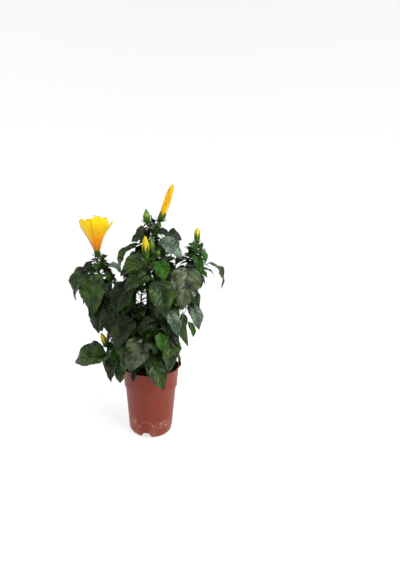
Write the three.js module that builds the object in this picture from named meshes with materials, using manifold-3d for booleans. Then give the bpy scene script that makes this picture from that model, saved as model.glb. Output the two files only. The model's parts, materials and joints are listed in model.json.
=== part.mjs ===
// A potted hibiscus shrub: a tall terracotta-coloured plastic nursery pot filled with
// peat, a short trunk that forks close above it, and leafy shoots that end in buds and
// yellow flowers. Millimetres, +Z up. The origin is the middle of the pot's flat
// underside, and -Y is the side that is seen from the front.
import * as THREE from "three";
import { mergeVertices } from "three/addons/utils/BufferGeometryUtils.js";
import Module from "manifold-3d";

const wasm = await Module();
wasm.setup();

// Pot: a body that widens upwards, a step out, a deep rim band and a thin lip
const POT_HEIGHT = 155;
const RIM_RADIUS = 65;
const LIP_OUT = 1.2;
const LIP_HEIGHT = 2.5;
const BAND_HEIGHT = 44;
const BAND_STRAIGHT = 10;
const BAND_FOOT_RADIUS = 61.8;
const STEP_HEIGHT = 4;
const SHOULDER_RADIUS = 59;
const FOOT_RADIUS = 50.6;
const FOOT_ROUNDING = 8;
const WALL = 1.8;
const FLOOR = 3;
const POT_SIDES = 36;

// Drainage notches round the foot
const NOTCH_COUNT = 4;
const NOTCH_AZIMUTH = -102;
const NOTCH_WIDE = 28.4;
const NOTCH_NARROW = 13;
const NOTCH_HEIGHT = 12.5;
const NOTCH_DEPTH = 19;

// Peat
const GAP = 0.3;
const SOIL_TOP = 139;
const SOIL_RISE = 2.5;
const SOIL_FLAT_RADIUS = 20;

// Trunk
const TRUNK_FLARE = 13.5;
const TRUNK_NECK = 8.6;
const TRUNK_END = 6;
const TRUNK_TOP = 190;
const TRUNK_LEAN = 5;
const TRUNK_SIDES = 12;

// Shoots: the bough's radius at the trunk and the stem's at the tip
const BOUGH_RADIUS = 3.3;
const TIP_RADIUS = 1.2;
const BOUGH_SIDES = 8;
const STEM_SIDES = 6;
const STEP_LENGTH = 26;

// How a shoot bends: the shares of its reach and rise that its two middle handles take
const EARLY_OUT = 0.46;
const EARLY_UP = 0.27;
const LATE_OUT = 0.05;
const LATE_UP = 0.4;

// Leaves
const GOLDEN_ANGLE = 137.5;
const FULL_LEAF = 84;
const YOUNGEST_LEAF = 23;
const LEAF_AGEING = 115;
const FIRST_SPACING = 2.5;
const SPACING_GROWTH = 0.78;
const SPREAD = 32;
const UPRIGHT_SPREAD = 77;
const UPRIGHT_REACH = 40;
const OUTWARD_SHARE = 0.75;
const TURN_SPREAD = 14;
const FACE_SPREAD = 25;
const HANG_SPREAD = 12;
const SIZE_SPREAD = 0.12;
const YOUNG_HANG = 4;
const OLD_HANG = 66;
const YOUNG_RISE = 52;
const OLD_RISE = 25;
const YOUNG_ARCH = 0.17;
const OLD_ARCH = 0.11;
const FACE_UP = 0.75;
const MIDRIB_FOLD = 0.16;
const BLADE_TAPER = [0.45, 0.95, 0.415];
const SWUNG_FAR = 50;
const SWUNG_SHRINK = 0.82;
const SMALL_LEAF = 42;
const THICKNESS_SHARE = 0.02;
const LEAST_THICKNESS = 0.7;
const STALK_RADIUS = 0.95;
const YOUNG_STALK_RADIUS = 0.65;
const ROOM = 0.9;
const BARE_LENGTH = 6;
const LOWEST_LEAF = 126;
const CROWN_RADIUS = 178;

// The shoots: name, azimuth (0 is right, 90 is the back), how far the tip stands from the
// pot's axis, the tip's height, the height where it leaves the trunk, how far its middle
// swings sideways, the share of it that is a bare bough, and two numbers for its leaves:
// the azimuth of the first and the seed of their small differences.
const SHOOTS = [
  ["top", 50, 13, 479, 189, 22, 0.42, 20, 211],
  ["front", -98, 62, 393, 176, -20, 0.38, 250, 307],
  ["right", -1, 101, 429, 171, 6, 0.38, 310, 401],
  ["left", 185, 117, 401, 167, 0, 0.38, 120, 509],
  ["back_left", 128, 76, 364, 173, 12, 0.36, 100, 601],
  ["back_right", 62, 84, 400, 163, -10, 0.36, 40, 701],
  ["mid_left", 226, 66, 318, 169, 6, 0.34, 230, 733],
  ["mid_right", -44, 66, 344, 165, -6, 0.34, 300, 761],
  ["low_left", 198, 89, 206, 153, 0, 0.34, 190, 809],
  ["low_front", -84, 58, 250, 158, 0, 0.3, 260, 907],
  ["low_right", -14, 74, 284, 154, 0, 0.3, 330, 1009],
  ["low_back", 92, 82, 270, 151, 0, 0.3, 80, 1103],
  ["low_back_left", 158, 88, 292, 160, 0, 0.3, 150, 1201],
  ["low_back_right", 38, 62, 262, 149, 0, 0.3, 30, 1301],
].map(([name, azimuth, reach, top, from, sway, enters, phase, seed]) => (
  { name, azimuth, reach, top, from, sway, enters, phase, seed }
));

// The broad leaves that stand out on the front of the crown: the shoot, the share of it
// where the stalk leaves, the place of the blade's base, the azimuth that the blade
// points to, how far it hangs below level, the azimuth that its upper side looks to,
// its length and width, and how far it arches over as a share of its length.
const FRONT_LEAVES = [
  ["left", 0.8, [-136, -8, 379], 171, 65, 238, 80, 52, 0.16],
  ["left", 0.74, [-123, -35, 372], -84, 84, -95, 90, 58, 0.1],
  ["left", 0.6, [-111, -18, 308], -150, 80, -110, 78, 44, 0.1],
  ["left", 0.86, [-96, -12, 387], 5, 36, -40, 40, 24, 0.28],
  ["left", 0.52, [-90, -52, 306], -70, 78, -100, 62, 34, 0.1],
  ["top", 0.9, [-15, -2, 453], 185, 28, -130, 32, 34, 0.1],
  ["top", 0.84, [-23, -6, 432], -163, 54, 150, 82, 28, 0.26],
  ["top", 0.82, [22, -20, 444], -18, 42, -70, 64, 46, 0.1],
  ["top", 0.88, [34, 18, 452], 4, 16, -100, 38, 34, 0.1],
  ["right", 0.97, [108, -6, 420], -20, 66, -50, 32, 19, 0.14],
  ["right", 0.95, [97, -14, 412], -60, 76, -80, 38, 22, 0.1],
  ["right", 0.8, [128, 0, 391], -4, 60, -20, 66, 34, 0.22],
  ["right", 0.68, [76, -58, 388], -124, 76, -95, 90, 62, 0.08],
  ["front", 0.95, [12, -72, 400], -40, 60, -75, 44, 34, 0.12],
  ["front", 0.9, [-8, -66, 402], -169, 31, -110, 62, 42, 0.12],
  ["front", 0.8, [-6, -90, 377], -163, 36, -100, 62, 42, 0.12],
  ["front", 0.7, [-43, -70, 355], -158, 62, -105, 68, 50, 0.1],
  ["front", 0.76, [14, -88, 363], -45, 76, -80, 70, 54, 0.1],
  ["mid_left", 0.9, [-34, -78, 283], -172, 53, -105, 76, 50, 0.1],
  ["low_front", 0.92, [13, -76, 282], -160, 26, -80, 50, 30, 0.1],
  ["mid_right", 0.72, [34, -74, 298], 20, 66, -72, 62, 28, 0.1],
  ["mid_right", 0.5, [40, -50, 246], -104, 80, -70, 88, 44, 0.1],
  ["low_right", 0.9, [88, 0, 301], 0, 70, -78, 68, 32, 0.12],
  ["low_right", 0.72, [61, -10, 268], 20, 69, 110, 76, 26, 0.1],
  ["low_right", 0.8, [68, -10, 276], 8, 66, -80, 34, 17, 0.14],
  ["low_right", 0.95, [84, -8, 259], 8, 70, -70, 40, 16, 0.16],
  ["low_left", 0.94, [-99, -32, 195], 172, 17, -118, 79, 58, 0.1],
  ["low_left", 0.84, [-80, -44, 205], -40, 36, -80, 44, 30, 0.1],
  ["low_left", 0.74, [-66, -32, 180], 164, 40, -120, 48, 26, 0.1],
  ["low_left", 0.6, [-58, -48, 178], -140, 76, -120, 46, 30, 0.1],
  ["low_front", 0.72, [-14, -76, 241], -154, 64, -100, 74, 52, 0.1],
  ["low_front", 0.95, [19, -78, 255], -85, 70, -90, 38, 22, 0.1],
  ["low_front", 0.55, [-2, -72, 190], -26, 60, -80, 66, 40, 0.1],
];

// Flowers
const PETALS = 5;
const PETAL_WALL = 1.6;
const BLOOM_STALK = 1.3;
const BLOOM_SUNK = 3;
const SIDE_STEM_BELOW = 14;
const SIDE_STEM_SIDES = 5;
const CUP_RADIUS = 5;
const CUP_WIDEST = 0.3;
const COLUMN_RADIUS = 1.4;
const FUNNEL = [[0.36, 0.2], [0.63, 0.43], [0.9, 0.68], [1, 0.86]];

// A bud's outline: where it is measured, and how wide a long rolled one is there
const BUD_SHARES = [0.1, 0.4, 0.7, 0.9];
const ROLL_WIDTHS = [0.8, 0.97, 0.95, 0.7];

// How a leaf that doesn't fit is moved: front leaves in depth, the rest in turn and hang
const DEPTH_STEPS = [0, 6, -6, 12, -12, 18, -18];
const TURN_STEPS = [0, 22, -22, 44, -44, 66, -66, 88, -88];
const HANG_STEPS = [0, 14, -14];

// Flowers and buds, each on its own stalk at a shoot's tip. aside: how far its foot stands
// from that tip, where a side stem carries it there. points: its azimuth. lean: its tilt
// from upright. cup: the height of its green cup. body: the length of the petals.
const BLOOMS = [
  ["left", "open", [0, 0, 0], 3, 200, 3, 15, 76, 34],
  ["top", "rolled", [10.6, -2, -3], 6, 8, 19, 14, 72, 8.2],
  ["top", "green", [-16.4, -4, -5], 5, 200, 4, 12, 19, 8],
  ["front", "tipped", [0, 0, 0], 6, 220, 4, 20, 42, 7.2],
  ["front", "green", [10, 9, 12], 4, 0, 0, 13, 31, 6],
  ["front", "green", [17, 3.5, 9], 3, 0, 25, 8, 15, 4.5],
  ["right", "tipped", [0, 0, 0], 5, 60, 5, 15, 28, 6.6],
  ["low_left", "tipped", [-11.4, -2.5, -3], 4, 185, 20, 11, 30, 6],
  ["back_left", "green", [0, 0, 0], 6, 120, 12, 12, 24, 5.4],
  ["back_right", "tipped", [0, 0, 0], 7, 60, 14, 13, 30, 5.6],
].map(([shoot, kind, aside, stalk, points, lean, cup, body, radius]) => (
  { shoot, kind, aside, stalk, points, lean, cup, body, radius }
));

// Open places in the crown, as someone in front of it sees through them: the left and
// right edge, the foot and the top of each, measured where the pot's axis is. The first
// is the gap in the middle, where only bare stems cross.
const VIEW_POINT = [0, -700, 441];
const OPEN_PLACES = [
  [-29, -12, 299, 324],
  [68, 150, 120, 188],
  [117, 190, 120, 330],
  [-190, -140, 222, 270],
  [-116, -103, 211, 234],
  [-84, -50, 438, 520],
  [70, 90, 446, 520],
  [126, 190, 404, 520],
];

// Open places of the same kind where only front leaves hang
const EDGE_PLACES = [[66, 117, 188, 283]];

// Colours and finishes
const FINISHES = {
  pot: { color: 0x93503f, roughness: 0.55 },
  soil: { color: 0x18100a, roughness: 1 },
  wood: { color: 0x5b4a38, roughness: 0.85 },
  foliage: { color: 0x2f4426, roughness: 0.4 },
};

const UP = new THREE.Vector3(0, 0, 1);

function mix(low, high, share) {
  return low + (high - low) * share;
}

function heading(azimuth) {
  const angle = THREE.MathUtils.degToRad(azimuth);
  return new THREE.Vector3(Math.cos(angle), Math.sin(angle), 0);
}

// A repeatable stream of numbers from 0 to 1
function numberStream(seed) {
  let state = seed * 7919 + 17;
  const next = () => {
    state = (state * 48271) % 2147483647;
    return state / 2147483647;
  };
  next();
  next();
  return next;
}

// A closed solid from a geometry whose points are moved by place(point)
function solidOf(geometry, place) {
  const plain = geometry.clone();
  plain.deleteAttribute("normal");
  plain.deleteAttribute("uv");
  const points = plain.attributes.position;
  const point = new THREE.Vector3();
  for (let i = 0; place && i < points.count; i += 1) {
    const placed = place(point.fromBufferAttribute(points, i));
    points.setXYZ(i, placed.x, placed.y, placed.z);
  }
  const merged = mergeVertices(plain, 1e-4);
  const mesh = new wasm.Mesh({
    numProp: 3,
    vertProperties: new Float32Array(merged.attributes.position.array),
    triVerts: new Uint32Array(merged.index.array),
  });
  return new wasm.Manifold(mesh);
}

function geometryOf(solid) {
  const mesh = solid.getMesh();
  const geometry = new THREE.BufferGeometry();
  geometry.setAttribute("position", new THREE.BufferAttribute(new Float32Array(mesh.vertProperties), 3));
  geometry.setIndex(new THREE.BufferAttribute(new Uint32Array(mesh.triVerts), 1));
  return geometry;
}

// A round limb along a curve from share a to share b, with radiusAt(share of the curve).
// reference is a direction across the curve that the section's first corner keeps to.
function limb(curve, a, b, radiusAt, reference, sides, steps) {
  return solidOf(new THREE.CylinderGeometry(1, 1, 1, sides, steps), (point) => {
    const share = mix(a, b, point.y + 0.5);
    const centre = curve.getPoint(share);
    const tangent = curve.getTangent(share);
    const across = reference.clone().addScaledVector(tangent, -reference.dot(tangent)).normalize();
    const third = new THREE.Vector3().crossVectors(across, tangent);
    const radius = radiusAt(share);
    return centre.addScaledVector(across, point.x * radius).addScaledVector(third, point.z * radius);
  });
}

// The pot's outer outline from the axis outwards and up, moved in by inset
function potOutline(inset) {
  const bandFoot = POT_HEIGHT - BAND_HEIGHT;
  const outline = [];
  const corner = FOOT_ROUNDING;
  for (const angle of [0, 45, 90]) {
    const turn = THREE.MathUtils.degToRad(angle);
    const r = FOOT_RADIUS - corner + Math.sin(turn) * (corner - inset);
    outline.push([r, corner - Math.cos(turn) * (corner - inset)]);
  }
  outline.push([SHOULDER_RADIUS - inset, bandFoot - STEP_HEIGHT]);
  outline.push([BAND_FOOT_RADIUS - inset, bandFoot]);
  outline.push([BAND_FOOT_RADIUS - inset + 0.3, bandFoot + BAND_STRAIGHT]);
  return outline;
}

// One drainage notch: a block, narrower at its top, pushed into the foot from outside
function notch(azimuth, extra) {
  const half = NOTCH_WIDE / 2 + extra;
  const halfTop = NOTCH_NARROW / 2 + extra;
  const inner = FOOT_RADIUS - NOTCH_DEPTH - extra;
  const outer = FOOT_RADIUS + 20;
  const top = NOTCH_HEIGHT + extra;
  const turn = THREE.MathUtils.degToRad(azimuth);
  return solidOf(new THREE.BoxGeometry(1, 1, 1), (point) => {
    const high = point.z > 0;
    const out = point.x > 0 ? outer : inner;
    const side = Math.sign(point.y) * (high ? halfTop : half);
    const placed = new THREE.Vector3(out, side, high ? top : -1);
    return placed.applyAxisAngle(UP, turn);
  });
}

function lathe(outline) {
  const points = outline.map(([r, z]) => new THREE.Vector2(r, z));
  return solidOf(new THREE.LatheGeometry(points, POT_SIDES), (p) => new THREE.Vector3(p.z, p.x, p.y));
}

function makePot() {
  const lipFoot = POT_HEIGHT - LIP_HEIGHT;
  const outline = [[0, 0], ...potOutline(0), [RIM_RADIUS, lipFoot], [RIM_RADIUS + LIP_OUT, lipFoot]];
  let outside = lathe([...outline, [RIM_RADIUS + LIP_OUT, POT_HEIGHT], [0, POT_HEIGHT]]);
  const above = POT_HEIGHT + WALL;
  const floorEdge = [FOOT_RADIUS - FOOT_ROUNDING, FLOOR];
  const innerWall = [...potOutline(WALL).slice(1), [RIM_RADIUS - WALL, above]];
  let inside = lathe([[0, FLOOR], floorEdge, ...innerWall, [0, above]]);
  for (let i = 0; i < NOTCH_COUNT; i += 1) {
    const azimuth = NOTCH_AZIMUTH + (360 / NOTCH_COUNT) * i;
    outside = outside.subtract(notch(azimuth, 0));
    inside = inside.subtract(notch(azimuth, WALL));
  }
  return outside.subtract(inside);
}

function makeSoil() {
  const wall = WALL + GAP;
  const foot = FOOT_RADIUS - NOTCH_DEPTH - wall - 2;
  const sides = potOutline(wall).slice(2, 4);
  const top = RIM_RADIUS - wall;
  const bandFoot = POT_HEIGHT - BAND_HEIGHT;
  const soilEdge = mix(BAND_FOOT_RADIUS, RIM_RADIUS, (SOIL_TOP - bandFoot) / BAND_HEIGHT) - wall - 0.2;
  return lathe([
    [0, FLOOR + GAP],
    [foot, FLOOR + GAP],
    [foot, NOTCH_HEIGHT + wall],
    [sides[0][0] - 0.2, NOTCH_HEIGHT + wall + 2],
    [sides[1][0] - 0.1, sides[1][1]],
    [BAND_FOOT_RADIUS - wall - 0.2, bandFoot + 1],
    [soilEdge, SOIL_TOP - 1],
    [(soilEdge + SOIL_FLAT_RADIUS) / 2, SOIL_TOP + SOIL_RISE],
    [SOIL_FLAT_RADIUS, SOIL_TOP],
    [0, SOIL_TOP],
  ]);
}

// The trunk's axis and radius, from the flat cut at the soil to its top
const trunkCurve = new THREE.CubicBezierCurve3(
  new THREE.Vector3(0, 0, SOIL_TOP + GAP),
  new THREE.Vector3(0, 0, mix(SOIL_TOP, TRUNK_TOP, 0.35)),
  new THREE.Vector3(-TRUNK_LEAN, TRUNK_LEAN / 2, mix(SOIL_TOP, TRUNK_TOP, 0.65)),
  new THREE.Vector3(0, TRUNK_LEAN, TRUNK_TOP),
);

function trunkRadius(share) {
  const flare = (TRUNK_FLARE - TRUNK_NECK) * Math.pow(1 - share, 3);
  return flare + mix(TRUNK_NECK, TRUNK_END, Math.pow(share, 4));
}

function makeTrunk(extra) {
  const across = new THREE.Vector3(1, 0, 0);
  const steps = 8;
  const long = limb(trunkCurve, 0, 1, (share) => trunkRadius(share) + extra, across, TRUNK_SIDES, steps);
  if (!extra) return long;
  const cap = limb(trunkCurve, 0.97, 1.0, () => TRUNK_END + extra, across, TRUNK_SIDES, 1);
  return long.add(cap.translate([0, 0, extra]));
}

// A shoot's own curve: up and out from the trunk, then steeply up to its tip
function shootCurve(shoot) {
  const out = heading(shoot.azimuth);
  const side = heading(shoot.azimuth + 90);
  const share = (shoot.from - SOIL_TOP) / (TRUNK_TOP - SOIL_TOP);
  const start = trunkCurve.getPoint(share);
  const tip = out.clone().multiplyScalar(shoot.reach).addScaledVector(UP, shoot.top);
  const rise = shoot.top - start.z;
  const lower = start.clone().addScaledVector(out, shoot.reach * EARLY_OUT);
  lower.addScaledVector(UP, rise * EARLY_UP).addScaledVector(side, shoot.sway);
  const upper = tip.clone().addScaledVector(out, -shoot.reach * LATE_OUT);
  upper.addScaledVector(UP, -rise * LATE_UP).addScaledVector(side, shoot.sway);
  return new THREE.CubicBezierCurve3(start, lower, upper, tip);
}

function shootRadius(share) {
  return mix(BOUGH_RADIUS, TIP_RADIUS, Math.pow(share, 0.8));
}

// The half-width of a blade along it, as a share of its widest
function outlineShare(along) {
  const [base, tip, widest] = BLADE_TAPER;
  return Math.pow(along, base) * Math.pow(1 - along, tip) / widest;
}

// A leaf's frame from the base of its blade
function leafFrame(base, turn, hang, face, length, width, arch) {
  const hangAngle = THREE.MathUtils.degToRad(hang);
  const chord = heading(turn).multiplyScalar(Math.cos(hangAngle)).addScaledVector(UP, -Math.sin(hangAngle));
  const normal = heading(face).addScaledVector(UP, FACE_UP);
  normal.addScaledVector(chord, -normal.dot(chord)).normalize();
  const side = new THREE.Vector3().crossVectors(chord, normal);
  return { base, chord, normal, side, length, width, arch };
}

// A point of the blade's middle surface: along runs from base to tip, across from edge
// to edge. The blade arches over and folds up a little along its midrib.
function bladePoint(leaf, along, across) {
  const half = (leaf.width / 2) * outlineShare(along);
  const arching = leaf.arch * leaf.length * 4 * along * (1 - along);
  const folding = MIDRIB_FOLD * half * Math.abs(across) * (1 - along);
  return leaf.base.clone()
    .addScaledVector(leaf.chord, leaf.length * along)
    .addScaledVector(leaf.side, half * across)
    .addScaledVector(leaf.normal, arching + folding);
}

// The room that a blade needs, thickest along its midrib
function bladeRoom(leaf) {
  const room = roomAround(leaf);
  const thick = leafThickness(leaf) / 2 + room;
  return solidOf(new THREE.SphereGeometry(1, 4, 4), (point) => {
    const ring = Math.hypot(point.x, point.z);
    const across = ring > 1e-6 ? point.x / ring : 0;
    const through = ring > 1e-6 ? point.z / ring : 0;
    return bladePoint(leaf, (1 + point.y) / 2, across)
      .addScaledVector(leaf.normal, through * thick)
      .addScaledVector(leaf.side, across * room)
      .addScaledVector(leaf.chord, point.y * room);
  });
}

// The room that a straight stalk needs, from just outside its stem
function stalkRoom(root, leaf) {
  const line = new THREE.LineCurve3(root, leaf.base);
  const reference = leaf.side.clone().addScaledVector(leaf.chord, 0.1).normalize();
  return limb(line, 0.15, 1, () => stalkRadius(leaf) + roomAround(leaf) / 2, reference, 3, 1);
}

// The clear space that a leaf keeps all round: a young leaf packs closer
function roomAround(leaf) {
  return leaf.length < SMALL_LEAF ? ROOM / 2 : ROOM;
}

function stalkRadius(leaf) {
  return leaf.length < SMALL_LEAF ? YOUNG_STALK_RADIUS : STALK_RADIUS;
}

function leafThickness(leaf) {
  return Math.max(leaf.length * THICKNESS_SHARE, LEAST_THICKNESS);
}

// A direction across the way, as near as can be to the leaf's own side
function acrossWay(leaf, way) {
  return leaf.side.clone().addScaledVector(way, -leaf.side.dot(way)).normalize();
}

// A leaf in one sweep of four-sided rings: its stalk from the middle of the stem to the
// blade's base, then the blade's stations, then its tip
function leafSolid(root, leaf) {
  const small = leaf.length < SMALL_LEAF;
  const stations = small ? [0.42] : [0.13, 0.42, 0.76];
  const radius = stalkRadius(leaf);
  const stalkWay = leaf.base.clone().sub(root).normalize();
  const joint = stalkWay.clone().add(leaf.chord).normalize();
  const count = stations.length + 2;
  return solidOf(new THREE.CylinderGeometry(0, 1, 1, 4, count), (point) => {
    const step = Math.round((point.y + 0.5) * count);
    const ring = Math.hypot(point.x, point.z);
    const across = ring > 1e-6 ? point.x / ring : 0;
    const through = ring > 1e-6 ? point.z / ring : 0;
    if (step === count) return bladePoint(leaf, 1, 0);
    if (step > 1) {
      const thick = (leafThickness(leaf) / 2) * (1.1 - 0.4 * stations[step - 2]);
      return bladePoint(leaf, stations[step - 2], across).addScaledVector(leaf.normal, through * thick);
    }
    const way = step === 1 ? joint : stalkWay;
    const side = acrossWay(leaf, way);
    const third = new THREE.Vector3().crossVectors(side, way);
    const centre = (step === 1 ? leaf.base : root).clone();
    return centre.addScaledVector(side, across * radius).addScaledVector(third, through * radius);
  });
}

function boxesApart(a, b) {
  for (let axis = 0; axis < 3; axis += 1) {
    if (a.min[axis] > b.max[axis] || b.min[axis] > a.max[axis]) return true;
  }
  return false;
}

function meets(one, other) {
  if (boxesApart(one.box, other.box)) return false;
  return !one.solid.intersect(other.solid).isEmpty();
}

function boxed(solid, shoot, kind) {
  return { solid, box: solid.boundingBox(), shoot, kind };
}

const trunk = makeTrunk(0);
const grownTrunk = makeTrunk(GAP);
const obstacles = [boxed(makeTrunk(ROOM), "trunk", "limb")];
const potRadius = RIM_RADIUS + LIP_OUT + ROOM;
const potRoom = new THREE.CylinderGeometry(potRadius, FOOT_RADIUS, POT_HEIGHT + ROOM, 24);
const stood = (p) => new THREE.Vector3(p.x, -p.z, p.y + (POT_HEIGHT + ROOM) / 2);
obstacles.push(boxed(solidOf(potRoom, stood), "pot", "limb"));

// Keeps blades out of places as the viewer sees them
function keepOpen(places) {
  for (const [left, right, foot, top] of places) {
    const open = solidOf(new THREE.BoxGeometry(1, 1, 1), (p) => {
      const depth = p.y * 2 * CROWN_RADIUS;
      const scale = 1 - depth / VIEW_POINT[1];
      const height = VIEW_POINT[2] + (mix(foot, top, p.z + 0.5) - VIEW_POINT[2]) * scale;
      return new THREE.Vector3(mix(left, right, p.x + 0.5) * scale, depth, height);
    });
    obstacles.push(boxed(open, "open", "blade"));
  }
}

keepOpen(OPEN_PLACES);

const plant = new Map();
for (const shoot of SHOOTS) {
  const curve = shootCurve(shoot);
  const side = heading(shoot.azimuth + 90);
  const length = curve.getLength();
  const grown = limb(curve, 0.02, 1, (share) => shootRadius(share) + ROOM, side, STEM_SIDES, 12);
  obstacles.push(boxed(grown, shoot.name, "limb"));
  plant.set(shoot.name, { shoot, curve, side, length, pieces: [] });
}

// A leaf fits where it touches no limb, blade or other shoot's stalk and keeps to the crown
function leafFits(leaf, bladeBody, stalkBody, name) {
  const tip = bladePoint(leaf, 1, 0);
  if (Math.min(tip.z, leaf.base.z) < LOWEST_LEAF) return false;
  if (Math.hypot(tip.x, tip.y) > CROWN_RADIUS) return false;
  for (const other of obstacles) {
    if (meets(bladeBody, other)) return false;
    const ownRoot = other.shoot === name && other.kind !== "blade";
    if (!ownRoot && other.shoot !== "open" && meets(stalkBody, other)) return false;
  }
  return true;
}

function tryLeaf(name, at, leaf) {
  const { curve, pieces } = plant.get(name);
  const root = curve.getPoint(at);
  const bladeBody = boxed(bladeRoom(leaf), name, "blade");
  const stalkBody = boxed(stalkRoom(root, leaf), name, "stalk");
  if (!leafFits(leaf, bladeBody, stalkBody, name)) return false;
  obstacles.push(bladeBody, stalkBody);
  pieces.push(leafSolid(root, leaf));
  return true;
}

// Where a bloom starts and the way it points
function bloomAxis(bloom) {
  const foot = plant.get(bloom.shoot).curve.getPoint(1).add(new THREE.Vector3(...bloom.aside));
  const lean = THREE.MathUtils.degToRad(bloom.lean);
  const axis = heading(bloom.points).multiplyScalar(Math.sin(lean)).addScaledVector(UP, Math.cos(lean));
  const across = new THREE.Vector3().crossVectors(axis, new THREE.Vector3(0, 1, 0)).normalize();
  const third = new THREE.Vector3().crossVectors(across, axis);
  return (radial, distance, angleX, angleZ) => foot.clone()
    .addScaledVector(axis, distance)
    .addScaledVector(across, angleX * radial)
    .addScaledVector(third, angleZ * radial);
}

// A solid turned about a bloom's axis from [radius, distance] pairs
function turned(place, profile, sides, lobes) {
  const points = profile.map(([r, distance]) => new THREE.Vector2(r, distance));
  return solidOf(new THREE.LatheGeometry(points, sides), (point) => {
    const radial = Math.hypot(point.x, point.z);
    const scale = radial > 1e-6 ? 1 / radial : 0;
    const lobe = lobes ? lobes(radial, Math.atan2(point.z, point.x)) : { wider: 1, lower: 0 };
    return place(radial * lobe.wider, point.y - lobe.lower, point.x * scale, point.z * scale);
  });
}

// A bud: its stalk, its green cup and the pointed roll of petals above it
function makeBud(place, bloom) {
  const cupRadius = bloom.radius * 0.95;
  const cupTop = bloom.stalk + bloom.cup;
  const start = cupTop - bloom.cup * 0.4;
  const sunk = bloom.kind === "rolled" ? 0 : bloom.cup * 0.55;
  const end = cupTop + bloom.body - sunk;
  const profile = [
    [0, -BLOOM_SUNK],
    [BLOOM_STALK, -BLOOM_SUNK],
    [BLOOM_STALK, bloom.stalk],
    [cupRadius, mix(bloom.stalk, cupTop, CUP_WIDEST)],
  ];
  BUD_SHARES.forEach((share, i) => {
    const pointed = Math.pow(Math.sin(Math.PI * Math.pow(share, 0.8)), 0.6);
    const wide = bloom.kind === "rolled" ? ROLL_WIDTHS[i] : pointed;
    profile.push([bloom.radius * wide, mix(start, end, share)]);
  });
  return turned(place, [...profile, [0, end]], 7);
}

// The open flower: its stalk and cup, and a thin funnel of five lobes round a column
function makeFlower(place, bloom) {
  const cupTop = bloom.stalk + bloom.cup;
  const cup = turned(place, [
    [0, -BLOOM_SUNK],
    [BLOOM_STALK, -BLOOM_SUNK],
    [BLOOM_STALK, bloom.stalk],
    [CUP_RADIUS, mix(bloom.stalk, cupTop, CUP_WIDEST)],
    [CUP_RADIUS * 1.1, cupTop],
    [COLUMN_RADIUS, cupTop + 3],
    [COLUMN_RADIUS, cupTop + bloom.body * 1.01],
    [0, cupTop + bloom.body * 1.03],
  ], 6);
  const outline = FUNNEL.map(([r, h]) => [r * bloom.radius, h * bloom.body]);
  const outside = [[0, 0], [CUP_RADIUS * 0.8, 0], [CUP_RADIUS * 1.2, 0.12 * bloom.body], ...outline];
  const inside = outline.reverse().map(([r, h]) => [r - PETAL_WALL, h + 0.5]);
  const profile = [...outside, [0.94 * bloom.radius, bloom.body], ...inside, [0, 0.14 * bloom.body]];
  const funnel = turned(place, profile.map(([r, h]) => [r, h + cupTop - 3]), 20, (radial, angle) => {
    const spread = Math.pow(radial / bloom.radius, 2);
    const lobe = Math.cos(PETALS * angle + 0.6);
    return { wider: 1 + 0.05 * spread * lobe, lower: 2.5 * spread * (1 - lobe) };
  });
  return cup.add(funnel);
}

// The side stem from a little below a shoot's tip to the foot of a bloom beside it
function sideStem(place, { curve, length }) {
  const start = curve.getPoint(1 - SIDE_STEM_BELOW / length);
  const end = place(0, 0, 0, 0);
  const way = end.clone().sub(start).normalize();
  const across = new THREE.Vector3().crossVectors(way, new THREE.Vector3(0, 1, 0)).normalize();
  const third = new THREE.Vector3().crossVectors(across, way);
  return solidOf(new THREE.CylinderGeometry(1, 1, 1, SIDE_STEM_SIDES), (p) => (
    start.clone().lerp(end, p.y + 0.5)
      .addScaledVector(across, p.x * BLOOM_STALK)
      .addScaledVector(third, p.z * BLOOM_STALK)
  ));
}

for (const bloom of BLOOMS) {
  const place = bloomAxis(bloom);
  let body = bloom.kind === "open" ? makeFlower(place, bloom) : makeBud(place, bloom);
  if (Math.hypot(...bloom.aside) > 0) body = body.add(sideStem(place, plant.get(bloom.shoot)));
  obstacles.push(boxed(body, bloom.shoot, "blade"));
  plant.get(bloom.shoot).pieces.push(body);
}

// A front leaf that would touch another is moved forwards or back until it clears
for (const [name, at, place, turn, hang, face, length, width, arch] of FRONT_LEAVES) {
  DEPTH_STEPS.some((step) => {
    const base = new THREE.Vector3(...place);
    base.y += step;
    return tryLeaf(name, at, leafFrame(base, turn, hang, face, length, width, arch));
  });
}
keepOpen(EDGE_PLACES);

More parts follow.
